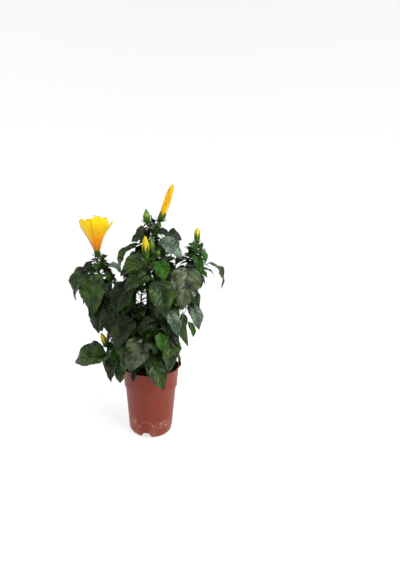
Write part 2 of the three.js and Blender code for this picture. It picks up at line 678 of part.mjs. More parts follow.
// The rest of a shoot's leaves, from its tip down: each is a golden angle round from the
// last, older, larger, farther from the next and more drooping, and turned outwards.
// A leaf that doesn't fit is swung aside or made smaller, or else skipped.
function growLeaves({ shoot, curve, length }) {
  const next = numberStream(shoot.seed);
  const ageing = Math.min(LEAF_AGEING, length * 0.6);
  const upright = shoot.reach < UPRIGHT_REACH;
  const farthest = shoot.reach + (upright ? UPRIGHT_SPREAD : SPREAD);
  let below = FIRST_SPACING;
  for (let i = 0; below < (1 - shoot.enters) * length - BARE_LENGTH; i += 1) {
    const draws = Array.from({ length: 6 }, next);
    const age = Math.min(1, below / ageing);
    const grown = mix(YOUNGEST_LEAF, FULL_LEAF, Math.pow(age, 1.7));
    const size = grown * mix(1 - SIZE_SPREAD, 1 + SIZE_SPREAD, draws[0]);
    const natural = shoot.phase + GOLDEN_ANGLE * i + mix(-TURN_SPREAD, TURN_SPREAD, draws[1]);
    const swing = THREE.MathUtils.euclideanModulo(natural - shoot.azimuth + 180, 360) - 180;
    const outward = shoot.azimuth + swing * (upright ? 1 : OUTWARD_SHARE);
    const hang = mix(YOUNG_HANG, OLD_HANG, Math.sqrt(age)) + mix(-HANG_SPREAD, HANG_SPREAD, draws[2]);
    const rise = THREE.MathUtils.degToRad(mix(YOUNG_RISE, OLD_RISE, age));
    const stalkLength = size * mix(0.28, 0.46, draws[3]);
    const width = size * mix(0.58, 0.72, draws[4]);
    const arch = mix(YOUNG_ARCH, OLD_ARCH, age);
    const at = 1 - below / length;
    const root = curve.getPoint(at);
    const fits = (drop, nudge) => {
      const turn = outward + nudge;
      const face = turn + mix(-FACE_SPREAD, FACE_SPREAD, draws[5]);
      const shrink = Math.abs(nudge) > SWUNG_FAR ? SWUNG_SHRINK : 1;
      const base = root.clone()
        .addScaledVector(heading(turn), Math.cos(rise) * stalkLength)
        .addScaledVector(UP, Math.sin(rise) * stalkLength);
      const leaf = leafFrame(base, turn, hang + drop, face, size * shrink, width * shrink, arch);
      const tip = bladePoint(leaf, 1, 0);
      return Math.hypot(tip.x, tip.y) < farthest && tryLeaf(shoot.name, at, leaf);
    };
    HANG_STEPS.some((drop) => TURN_STEPS.some((nudge) => fits(drop, nudge)));
    below += FIRST_SPACING + SPACING_GROWTH * i;
  }
}

for (const entry of plant.values()) growLeaves(entry);

const group = new THREE.Group();

function addPart(name, solid, finish) {
  const material = new THREE.MeshStandardMaterial({ ...FINISHES[finish], metalness: 0 });
  const mesh = new THREE.Mesh(geometryOf(solid), material);
  mesh.name = name;
  group.add(mesh);
}

addPart("pot", makePot(), "pot");
addPart("soil", makeSoil(), "soil");
addPart("trunk", trunk, "wood");
for (const { shoot, curve, side, length, pieces } of plant.values()) {
  const boughSteps = Math.max(2, Math.round((shoot.enters * length) / STEP_LENGTH));
  const stemSteps = Math.max(2, Math.round(((1 - shoot.enters) * length) / STEP_LENGTH));
  const bough = limb(curve, 0, shoot.enters, shootRadius, side, BOUGH_SIDES, boughSteps);
  const stem = limb(curve, shoot.enters + GAP / length, 1, shootRadius, side, STEM_SIDES, stemSteps);
  addPart(`bough_${shoot.name}`, bough.subtract(grownTrunk), "wood");
  addPart(`foliage_${shoot.name}`, wasm.Manifold.union([stem, ...pieces]), "foliage");
}

export default group;
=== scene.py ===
# %% [markdown]
# # A hibiscus shrub in a nursery pot
#
# The plain solids of this plant are already placed: a pot, peat, a forked trunk, boughs
# and masses of foliage. This lesson dresses them. Each mass becomes real leaves, stems,
# buds and flowers, and the pot, peat and bark get their finer shapes and finishes.

# %% Load the solids
import json
import math
from collections import namedtuple
from itertools import product

import bmesh
import bpy
from mathutils import Matrix, Vector, noise
from mathutils.bvhtree import BVHTree

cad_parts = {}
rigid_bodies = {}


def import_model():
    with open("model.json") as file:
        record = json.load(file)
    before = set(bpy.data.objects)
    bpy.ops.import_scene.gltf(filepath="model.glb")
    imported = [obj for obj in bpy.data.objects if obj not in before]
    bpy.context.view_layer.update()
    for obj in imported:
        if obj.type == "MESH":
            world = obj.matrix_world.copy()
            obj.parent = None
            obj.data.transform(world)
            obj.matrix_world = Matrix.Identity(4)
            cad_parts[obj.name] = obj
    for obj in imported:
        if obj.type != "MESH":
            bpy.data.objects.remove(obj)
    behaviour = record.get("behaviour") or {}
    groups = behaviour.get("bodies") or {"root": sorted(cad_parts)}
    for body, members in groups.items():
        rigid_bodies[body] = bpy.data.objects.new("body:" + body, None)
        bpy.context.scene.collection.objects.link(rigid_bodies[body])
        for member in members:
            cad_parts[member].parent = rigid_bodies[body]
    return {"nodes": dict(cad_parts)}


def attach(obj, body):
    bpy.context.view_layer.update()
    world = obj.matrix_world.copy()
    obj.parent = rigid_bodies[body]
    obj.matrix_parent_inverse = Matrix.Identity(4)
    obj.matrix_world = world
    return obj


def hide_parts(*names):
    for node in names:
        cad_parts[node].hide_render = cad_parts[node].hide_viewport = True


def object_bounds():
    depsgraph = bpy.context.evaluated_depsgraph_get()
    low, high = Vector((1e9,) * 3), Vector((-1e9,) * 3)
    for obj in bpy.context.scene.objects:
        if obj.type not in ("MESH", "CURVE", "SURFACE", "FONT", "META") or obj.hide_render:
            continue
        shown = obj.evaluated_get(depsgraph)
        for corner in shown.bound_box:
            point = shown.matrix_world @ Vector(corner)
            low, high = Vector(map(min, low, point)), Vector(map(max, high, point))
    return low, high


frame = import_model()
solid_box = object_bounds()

MM = 0.001
UP = Vector((0, 0, 1))


def mix(low, high, share):
    return low + (high - low) * share


print("nodes:", len(frame["nodes"]))

# %% [markdown]
# ## Camera
#
# The plant was seen from close by and from above the pot, so the near rim looks large and
# the pot tapers strongly. A short lens at 0.7 m gives that. The plant's axis stands left
# of the middle of the picture. Turning the camera would tilt the pot, so the lens is
# shifted instead, as on an architect's camera.

# %% Camera
PICTURE_WIDE = 400
PICTURE_HIGH = 570
AXIS_COLUMN = 150.8
FOCAL_PIXELS = 314
SENSOR = 36
EYE = (0, -0.7, 0.441)
LOOKS_DOWN = 8.1

lens = bpy.data.cameras.new("camera")
lens.sensor_width = SENSOR
lens.lens = SENSOR * FOCAL_PIXELS / PICTURE_HIGH
lens.shift_x = (PICTURE_WIDE / 2 - AXIS_COLUMN) / PICTURE_HIGH
lens.clip_start = 0.01
camera = bpy.data.objects.new("camera", lens)
camera.location = EYE
camera.rotation_euler = (math.radians(90 - LOOKS_DOWN), 0, 0)
bpy.context.scene.collection.objects.link(camera)
bpy.context.scene.camera = camera
print("lens mm:", round(lens.lens, 2), "shift:", round(lens.shift_x, 4))

# %% [markdown]
# ## Light
#
# The leaves are glossy, so what they mirror matters as much as what lights them. Large
# soft lamps give broad pale patches on the leaves, as a window or a softbox does. The
# main one stands at the right, because the pot's right edge is the brightest.

# %% Light
LAMPS_POINT_AT = Vector((0, 0, 0.25))
SKY = (0.93, 0.96, 1, 1)
SKY_STRENGTH = 0.2


def add_lamp(name, place, size, power, tint=(1, 1, 1)):
    lamp = bpy.data.lights.new(name, "AREA")
    lamp.size = size
    lamp.energy = power
    lamp.color = tint
    holder = bpy.data.objects.new(name, lamp)
    holder.location = place
    holder.rotation_euler = (LAMPS_POINT_AT - Vector(place)).to_track_quat("-Z", "Y").to_euler()
    bpy.context.scene.collection.objects.link(holder)


add_lamp("key_lamp", (1.1, -0.9, 1.1), 1.1, 23, (1, 0.98, 0.95))
add_lamp("fill_lamp", (-1.2, -1.0, 0.9), 1.0, 4.5, (0.95, 0.98, 1))
add_lamp("top_lamp", (0.0, -0.35, 1.7), 0.9, 9)

world = bpy.data.worlds.new("studio")
world.use_nodes = True
background = world.node_tree.nodes["Background"]
background.inputs["Color"].default_value = SKY
background.inputs["Strength"].default_value = SKY_STRENGTH
bpy.context.scene.world = world
bpy.context.scene.view_settings.view_transform = "Standard"
print("lamps:", sum(o.type == "LIGHT" for o in bpy.data.objects))

# %% [markdown]
# ## Building finishes
#
# Every finish is a small network of nodes. In the editor they would be joined by hand,
# which takes dozens of links for the pot alone. A few helpers keep the recipes short:
# `add` makes a node and joins its inputs, `reckon` does arithmetic, and `between` turns a
# range of values into a share.

# %% Helpers for nodes
def linear(red, green, blue):
    """A colour given as 0 to 255 screen values, as the renderer's linear values."""
    share = [channel / 255 for channel in (red, green, blue)]
    return tuple(c / 12.92 if c <= 0.04045 else ((c + 0.055) / 1.055) ** 2.4 for c in share) + (1,)


def finish(name, roughness, **settings):
    material = bpy.data.materials.new(name)
    material.use_nodes = True
    shader = material.node_tree.nodes["Principled BSDF"]
    shader.inputs["Roughness"].default_value = roughness
    for socket, value in settings.items():
        shader.inputs[socket.replace("_", " ")].default_value = value
    return material


def add(tree, kind, inputs, **settings):
    """A new node. Inputs are joined when they are outputs of other nodes, and set otherwise."""
    made = tree.nodes.new("ShaderNode" + kind)
    for key, value in settings.items():
        setattr(made, key, value)
    for socket, value in inputs.items():
        if isinstance(value, bpy.types.NodeSocket):
            tree.links.new(value, made.inputs[socket])
        else:
            made.inputs[socket].default_value = value
    return made


def reckon(operation, first, second=0.0):
    """Arithmetic on a node's output, in the network that it belongs to."""
    return add(first.id_data, "Math", {0: first, 1: second}, operation=operation).outputs[0]


def between(value, low, high, out_low=0.0, out_high=1.0):
    """Maps low..high to out_low..out_high smoothly."""
    inputs = {"Value": value, "From Min": low, "From Max": high, "To Min": out_low, "To Max": out_high}
    return add(value.id_data, "MapRange", inputs, interpolation_type="SMOOTHSTEP").outputs["Result"]


print("white in linear values:", linear(255, 255, 255))

# %% [markdown]
# A ramp deals colours out along a value, and a mix lays one colour over another. Noise and
# split coordinates give them something to follow. All noise reads the object's own space,
# in which the pieces never move.

# %% Helpers for colours and relief
def shades(value, stops):
    made = add(value.id_data, "ValToRGB", {"Fac": value})
    elements = made.color_ramp.elements
    while len(elements) < len(stops):
        elements.new(0.5)
    for element, (position, colour) in zip(elements, stops):
        element.position = position
        element.color = linear(*colour)
    return made.outputs["Color"]


def blend_colours(share, first, second):
    """The first colour where the share is 0, the second where it is 1."""
    colours = [c if isinstance(c, bpy.types.NodeSocket) else linear(*c) for c in (first, second)]
    made = add(share.id_data, "Mix", {}, data_type="RGBA")
    for socket, value in ((0, share), (6, colours[0]), (7, colours[1])):
        if isinstance(value, bpy.types.NodeSocket):
            share.id_data.links.new(value, made.inputs[socket])
        else:
            made.inputs[socket].default_value = value
    return made.outputs[2]


def speckle(material, scale, detail=3.0, stretch=(1, 1, 1)):
    tree = material.node_tree
    place = add(tree, "TexCoord", {}).outputs["Object"]
    place = add(tree, "Mapping", {"Vector": place, "Scale": stretch}).outputs["Vector"]
    return add(tree, "TexNoise", {"Vector": place, "Scale": scale, "Detail": detail}).outputs["Fac"]


def split_axes(material, uv_map=None):
    """The object's own coordinates, or those of a UV map, one by one."""
    tree = material.node_tree
    if uv_map:
        place = add(tree, "UVMap", {}, uv_map=uv_map).outputs["UV"]
    else:
        place = add(tree, "TexCoord", {}).outputs["Object"]
    return add(tree, "SeparateXYZ", {"Vector": place}).outputs


def wear(material, colour, roughness=None, height=None, depth=0.2, distance=0.001):
    """Joins the finished colour, roughness and relief to the shader."""
    tree = material.node_tree
    shader = tree.nodes["Principled BSDF"]
    tree.links.new(colour, shader.inputs["Base Color"])
    if roughness is not None:
        tree.links.new(roughness, shader.inputs["Roughness"])
    if height is not None:
        relief = add(tree, "Bump", {"Height": height, "Strength": depth, "Distance": distance})
        tree.links.new(relief.outputs["Normal"], shader.inputs["Normal"])
    return material


# %% [markdown]
# ## Making pieces
#
# All shapes are worked out in millimetres, as a gardener would measure them, and scaled
# to metres once, when a mesh becomes a piece. Each piece rides on the plant and names the
# solids that it stands for, which are then hidden.

# %% Helpers for pieces
SHARP_ANGLE = 0.9


def empty_shape(uv_map):
    bm = bmesh.new()
    bm.loops.layers.uv.new(uv_map)
    return bm


def make_piece(bm, name, materials, nodes=()):
    bmesh.ops.scale(bm, vec=(MM, MM, MM), verts=bm.verts)
    for edge in bm.edges:
        edge.smooth = edge.calc_face_angle(0) < SHARP_ANGLE
    for face in bm.faces:
        face.smooth = True
    mesh = bpy.data.meshes.new(name)
    bm.to_mesh(mesh)
    bm.free()
    for material in materials:
        mesh.materials.append(material)
    piece = bpy.data.objects.new(name, mesh)
    bpy.context.scene.collection.objects.link(piece)
    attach(piece, "root")
    if nodes:
        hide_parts(*nodes)
    print(name, "triangles:", sum(len(face.vertices) - 2 for face in mesh.polygons))


def spun(profile, steps, closed=True):
    """A bmesh turned about Z from (radius, height) pairs."""
    bm = bmesh.new()
    corners = [bm.verts.new((radius, 0, height)) for radius, height in profile]
    edges = [bm.edges.new(pair) for pair in zip(corners, corners[1:])]
    bmesh.ops.spin(
        bm, geom=corners + edges, axis=UP, cent=(0, 0, 0), steps=steps, angle=math.tau, use_merge=True
    )
    bmesh.ops.remove_doubles(bm, verts=bm.verts, dist=1e-4)
    if closed:
        bmesh.ops.recalc_face_normals(bm, faces=bm.faces)
    return bm


print("solids to dress:", sum(piece.type == "MESH" for piece in bpy.data.objects))

# %% [markdown]
# ## Floor
#
# A pale bowl, flat in the middle and curving up into a wall, so that there is no horizon
# line behind the plant. A plane with a bent back edge would do for one view, but the plant
# is looked at from all sides, so one outline is spun round the upright axis. The bowl
# glows behind the plant and is dim in front of it, where the glossy leaves mirror it: a
# bright bowl all round would lay a grey veil over the dark green.

# %% Floor
FLOOR_DROP = 0.5
FLAT_RADIUS = 2600
WALL_CURVE = 700
WALL_TOP = 4600
DIM_AT, BRIGHT_AT = -2.4, -0.35
DIM_GLOW, BRIGHT_GLOW = 0.04, 0.7

floor_profile = [(0, -FLOOR_DROP), (FLAT_RADIUS, -FLOOR_DROP)]
for turn in range(10, 91, 10):
    angle = math.radians(turn)
    height = WALL_CURVE - FLOOR_DROP - WALL_CURVE * math.cos(angle)
    floor_profile.append((FLAT_RADIUS + WALL_CURVE * math.sin(angle), height))
floor_profile.append((FLAT_RADIUS + WALL_CURVE, WALL_TOP))
floor_shape = spun(floor_profile, 64, closed=False)
bmesh.ops.scale(floor_shape, vec=(MM, MM, MM), verts=floor_shape.verts)
if floor_shape.faces[:][0].normal.z < 0:
    bmesh.ops.reverse_faces(floor_shape, faces=floor_shape.faces)
floor_mesh = bpy.data.meshes.new("floor")
floor_shape.to_mesh(floor_mesh)
floor_shape.free()
floor_mesh.polygons.foreach_set("use_smooth", [True] * len(floor_mesh.polygons))

floor_paint = finish("floor_paint", 0.8, Base_Color=(0.38, 0.38, 0.38, 1), Emission_Color=(1, 1, 1, 1))
glow = between(split_axes(floor_paint)["Y"], DIM_AT, BRIGHT_AT, DIM_GLOW, BRIGHT_GLOW)
floor_shader = floor_paint.node_tree.nodes["Principled BSDF"]
floor_paint.node_tree.links.new(glow, floor_shader.inputs["Emission Strength"])
floor_mesh.materials.append(floor_paint)
floor = bpy.data.objects.new("floor", floor_mesh)
bpy.context.scene.collection.objects.link(floor)
print("floor faces:", len(floor_mesh.polygons))

# %% [markdown]
# ## Pot
#
# The real pot is blown from thin plastic: a body that widens upwards, a small step out to
# a deep rim band, a rolled lip, and drainage notches round the foot. One outline is spun
# with many steps. The notches could be cut with a Boolean, but its cut edges are ragged
# on a thin wall. Here the outline's low rings are pushed in where a notch is, and the
# columns next to it slide along the wall so that its slanting sides stay straight.

# %% Pot outline
POT_HEIGHT = 155
RIM_RADIUS = 65
LIP_OUT = 1.2
FOOT_RADIUS = 50.6
FOOT_ROUNDING = 8
POT_FLOOR = 3
WALL = 1.8
NOTCH_HEIGHT = 12.5
NOTCH_DEPTH = 19


def pot_profile():
    """Outer and inner outline as (radius, height) pairs, with rings close to the notches' edges."""
    corner = FOOT_RADIUS - FOOT_ROUNDING
    reach = FOOT_RADIUS - NOTCH_DEPTH
    top_in = NOTCH_HEIGHT + WALL
    outer = [(0, 0), (reach - WALL - 0.5, 0), (reach - 0.2, 0), (reach, 0)]
    outer += [(36, 0), (corner - 3, 0), (corner, 0)]
    for turn in (18, 36, 54, 72, 90):
        angle = math.radians(turn)
        height = FOOT_ROUNDING - FOOT_ROUNDING * math.cos(angle)
        outer.append((corner + FOOT_ROUNDING * math.sin(angle), height))
    outer += [(50.95, NOTCH_HEIGHT - 0.05), (50.96, NOTCH_HEIGHT + 0.05), (51.3, 17), (54.7, 58)]
    outer += [(58.9, 106.2), (59.2, 107), (60.1, 108), (61.2, 109), (61.8, 110), (61.9, 110.6)]
    outer += [(61.5, 111), (61.5, 111.5), (61.95, 111.9), (62.1, 121), (64.9, 151.6), (65.2, 152.3)]
    outer += [(65.9, 152.5), (66.2, 153), (66.2, 154.4), (65.9, 154.9), (65.4, 155), (64, 155)]
    inner = [(63.4, 154.6), (63.2, 154), (63.0, 152), (60.3, 121), (60.0, 111), (57.4, 107)]
    inner += [(53, 58), (49.4, 17), (49.15, top_in + 0.05), (49.1, top_in - 0.05)]
    inner += [(48.6, 8), (42.6, POT_FLOOR), (36, POT_FLOOR)]
    inner += [(reach - WALL, POT_FLOOR), (reach - WALL - 0.2, POT_FLOOR), (0, POT_FLOOR)]
    return outer, inner


outer, inner = pot_profile()
print("points of the pot's outline:", len(outer) + len(inner))

# %% [markdown]
# Each ring has a corner every two degrees. Near a notch the corners of the low rings are
# shared out anew: five on each side of its middle go inside the notch, one marks its edge,
# and the rest keep to the wall.

# %% Pot
POT_STEPS = 180
NOTCH_COUNT = 4
NOTCH_AZIMUTH = -102
NOTCH_HALF_WIDE = 14.2
NOTCH_HALF_NARROW = 6.5
NOTCH_INSIDE = 10
NOTCH_OUTSIDE = 12
NOTCH_EDGE = 0.3
UNMOVED_ABOVE = 6
INNER_WALL = 49.5
INNER_CORNER = 48.9


def is_inner_wall(point):
    radius = math.hypot(point.x, point.y)
    beside_corner = point.z >= FOOT_ROUNDING or radius <= INNER_CORNER
    return radius < INNER_WALL and point.z > POT_FLOOR - 0.1 and beside_corner


def notched(point, inside):
    """Moves a wall point to where the nearest notch puts it."""
    radius = math.hypot(point.x, point.y)
    extra = WALL if inside else 0
    top = NOTCH_HEIGHT + extra
    if point.z > top + UNMOVED_ABOVE or radius < 1:
        return point
    azimuth = math.degrees(math.atan2(point.y, point.x))
    spacing = 360 / NOTCH_COUNT
    offset = (azimuth - NOTCH_AZIMUTH + spacing / 2) % spacing - spacing / 2
    half = mix(NOTCH_HALF_WIDE, NOTCH_HALF_NARROW, min(1, point.z / NOTCH_HEIGHT)) + extra
    edge = math.degrees(half / FOOT_RADIUS)
    step = abs(offset)
    if step <= NOTCH_INSIDE:
        slid = step * (edge - NOTCH_EDGE) / NOTCH_INSIDE
    elif step <= NOTCH_OUTSIDE:
        slid = edge - NOTCH_EDGE + (step - NOTCH_INSIDE) * NOTCH_EDGE / (NOTCH_OUTSIDE - NOTCH_INSIDE)
    else:
        slid = edge + (step - NOTCH_OUTSIDE) * (spacing / 2 - edge) / (spacing / 2 - NOTCH_OUTSIDE)
    if step <= NOTCH_INSIDE + 0.5 and point.z < top:
        radius = min(radius, FOOT_RADIUS - NOTCH_DEPTH - extra)
    turned_to = math.radians(azimuth - offset + math.copysign(slid, offset))
    return Vector((radius * math.cos(turned_to), radius * math.sin(turned_to), point.z))


pot_shape = spun(outer + inner, POT_STEPS)
first_notch = Matrix.Rotation(math.radians(NOTCH_AZIMUTH), 3, "Z")
bmesh.ops.rotate(pot_shape, verts=pot_shape.verts, cent=(0, 0, 0), matrix=first_notch)
for vert in pot_shape.verts:
    vert.co = notched(vert.co, is_inner_wall(vert.co))
bmesh.ops.remove_doubles(pot_shape, verts=pot_shape.verts, dist=1e-3)
print("pot wall mm:", WALL, "faces:", len(pot_shape.faces))

# %% [markdown]
# The plastic is terracotta-brown with a satin gloss. It has faint upright flow streaks and
# turns paler towards the foot. One flat colour would look like a toy, so stretched noise deals
# out two close browns, wide noise darkens them in places, and height makes the foot paler.

# %% Pot colour
pot_plastic = finish("pot_plastic", 0.5, Specular_IOR_Level=0.22)
axes = split_axes(pot_plastic)
streaks = speckle(pot_plastic, 42, 3, (1, 1, 0.12))
blotches = speckle(pot_plastic, 14, 4)
pot_colour = shades(streaks, [(0.3, (120, 47, 31)), (0.7, (128, 53, 36))])
pot_colour = blend_colours(between(blotches, 0.4, 0.75, 0, 0.35), pot_colour, (108, 42, 27))
# Paler towards the foot, broken up by the streaks.
paler_foot = reckon("MULTIPLY", between(axes["Z"], 0.04, 0.0), between(streaks, 0.35, 0.7))
pot_colour = blend_colours(reckon("MULTIPLY", paler_foot, 0.45), pot_colour, (176, 116, 98))
print("nodes in the pot's colour:", len(pot_plastic.node_tree.nodes))

# %% [markdown]
# Chalky scuffs lie low on the right, a few on the left, and along a worn arch moulded over
# the front notch. They could be painted by hand on a map. Here each is the distance from
# an ellipse, and noise breaks it up so that it looks rubbed and not painted.

# %% Pot scuffs
def from_ellipse(centre_x, centre_z, half_wide, half_high):
    """0 in the middle of an upright ellipse and 1 on its edge, in metres."""
    across = reckon("DIVIDE", reckon("SUBTRACT", axes["X"], centre_x), half_wide)
    upward = reckon("DIVIDE", reckon("SUBTRACT", axes["Z"], centre_z), half_high)
    square = reckon("ADD", reckon("MULTIPLY", across, across), reckon("MULTIPLY", upward, upward))
    return reckon("SQRT", square)


rub = speckle(pot_plastic, 190, 5)
arch_line = reckon("ABSOLUTE", reckon("SUBTRACT", from_ellipse(-0.0095, 0.02, 0.0165, 0.021), 1))
arch = reckon("MULTIPLY", between(arch_line, 0.1, 0.02), between(axes["Z"], 0.02, 0.026))
arch = reckon("MULTIPLY", arch, between(rub, 0.42, 0.62))
right_rub = between(from_ellipse(0.026, 0.031, 0.024, 0.012), 1.1, 0.3)
left_rub = between(from_ellipse(-0.038, 0.034, 0.009, 0.017), 1.1, 0.4)
scuffs = reckon("MULTIPLY", reckon("MAXIMUM", right_rub, left_rub), between(rub, 0.44, 0.66))
front_only = between(axes["Y"], -0.005, -0.02)
scuffs = reckon("MULTIPLY", reckon("MAXIMUM", scuffs, arch), front_only)
pot_colour = blend_colours(reckon("MULTIPLY", scuffs, 0.38), pot_colour, (206, 176, 158))
roughness = between(scuffs, 0, 1, 0.42, 0.75)
grain = reckon("ADD", streaks, reckon("MULTIPLY", rub, 0.3))
wear(pot_plastic, pot_colour, roughness, grain, 0.12)
make_piece(pot_shape, "nursery_pot", [pot_plastic], ["pot"])

# %% [markdown]
# ## Peat
#
# Nearly black peat fills the pot to a finger's width below the rim, heaped a little
# between the stem and the wall. A bumpy disc would do for what shows, but it stands for a
# full body, so a closed outline is spun and its top roughened with noise. Small crumbs are
# pressed into it a golden angle apart, as the seeds of a sunflower lie, so that they cover
# the ring evenly without a row showing.

# %% Peat
GOLDEN_ANGLE = 137.5
SOIL_TOP = 139
CRUMBS = 150
CRUMBS_FROM, CRUMBS_ACROSS = 17, 42
SLOPE_FROM = 58

peat_profile = [(0, 3.3), (27, 3.3), (27, 14.6), (48, 16.6), (57, 107), (59.7, 112), (61.2, 137)]
peat_profile += [(61.4, 138.6), (58, 140.4), (53, 141), (48, 141.3), (42, 141.4), (36, 141.2), (30, 140.6)]
peat_profile += [(25, 139.8), (20, 139), (14, 138.8), (7, 138.7), (0, 138.7)]
peat_shape = spun(peat_profile, 96)
peat_shape.normal_update()
for vert in peat_shape.verts:
    if vert.co.z > 138.4 and vert.normal.z > 0.4:
        vert.co.z += 0.9 * noise.fractal(vert.co * 0.16, 0.8, 2.0, 4) - 0.4
for crumb in range(CRUMBS):
    angle = math.radians(crumb * GOLDEN_ANGLE)
    out = CRUMBS_FROM + CRUMBS_ACROSS * math.sqrt((crumb + 0.5) / CRUMBS)
    size = mix(0.7, 1.9, abs(noise.noise(Vector((crumb, 3.1, 0.7)))))
    place = Vector((out * math.cos(angle), out * math.sin(angle), 140.6 if out < SLOPE_FROM else 139.4))
    lump = bmesh.ops.create_icosphere(peat_shape, subdivisions=1, radius=size)["verts"]
    bmesh.ops.scale(peat_shape, vec=(1.25, 1, 0.7), verts=lump)
    bmesh.ops.translate(peat_shape, vec=place, verts=lump)
print("crumbs:", CRUMBS)

# %% [markdown]
# Moist peat is dull, with dark grains and a few paler fibres that lie flat. Fine noise
# gives the grains, and noise squeezed along one axis the fibres.

# %% Peat finish
peat = finish("peat", 0.95, Specular_IOR_Level=0.2)
grains = speckle(peat, 420, 5)
fibres = speckle(peat, 160, 4, (1, 2.4, 1))
peat_colour = shades(grains, [(0.3, (14, 9, 6)), (0.55, (30, 20, 14)), (0.78, (58, 41, 28))])
peat_colour = blend_colours(between(fibres, 0.62, 0.7, 0, 0.5), peat_colour, (92, 68, 46))
wear(peat, peat_colour, None, reckon("ADD", grains, fibres), 0.8)
make_piece(peat_shape, "peat", [peat], ["soil"])

# %% [markdown]
# ## The growing rule
#
# The solids of the foliage were not placed leaf by leaf. They grew by a rule: shoots
# leave the trunk, and each carries leaves a golden angle apart, small at the tip and
# large and hanging below. A leaf that would touch another is turned, or left out. The same
# rule is written here, so that every fine leaf lies where its solid is.

# %% Shoots and leaves as numbers
VIEW_POINT = tuple(round(place / MM) for place in EYE)
FULL_LEAF = 84
YOUNGEST_LEAF = 23
SMALL_LEAF = 42
YOUNG_UNDER = 34
LEAF_AGEING = 115
FIRST_SPACING = 2.5
SPACING_GROWTH = 0.78
SPREAD = 32
UPRIGHT_SPREAD = 77
UPRIGHT_REACH = 40
ROOM = 0.9
LOWEST_LEAF = 126
CROWN_RADIUS = 178
TRUNK_TOP = 190
TURN_STEPS = [0, 22, -22, 44, -44, 66, -66, 88, -88]
HANG_STEPS = [0, 14, -14]
DEPTH_STEPS = [0, 6, -6, 12, -12, 18, -18]
DRAWS_PER_LEAF, DRAWS_PER_TIP_LEAF = 6, 5

# A shoot leaves the trunk at one height, sways aside, and ends at its reach and its top. It
# enters its foliage at a share of its length. The phase turns its leaves, the seed deals them.
Shoot = namedtuple("Shoot", "name azimuth reach top leaves_trunk sway enters phase seed")
SHOOTS = [Shoot(*row) for row in (
    ("top", 50, 13, 479, 189, 22, 0.42, 20, 211),
    ("front", -98, 62, 393, 176, -20, 0.38, 250, 307),
    ("right", -1, 101, 429, 171, 6, 0.38, 310, 401),
    ("left", 185, 117, 401, 167, 0, 0.38, 120, 509),
    ("back_left", 128, 76, 364, 173, 12, 0.36, 100, 601),
    ("back_right", 62, 84, 400, 163, -10, 0.36, 40, 701),
    ("mid_left", 226, 66, 318, 169, 6, 0.34, 230, 733),
    ("mid_right", -44, 66, 344, 165, -6, 0.34, 300, 761),
    ("low_left", 198, 89, 206, 153, 0, 0.34, 190, 809),
    ("low_front", -84, 58, 250, 158, 0, 0.3, 260, 907),
    ("low_right", -14, 74, 284, 154, 0, 0.3, 330, 1009),
    ("low_back", 92, 82, 270, 151, 0, 0.3, 80, 1103),
    ("low_back_left", 158, 88, 292, 160, 0, 0.3, 150, 1201),
    ("low_back_right", 38, 62, 262, 149, 0, 0.3, 30, 1301),
)]
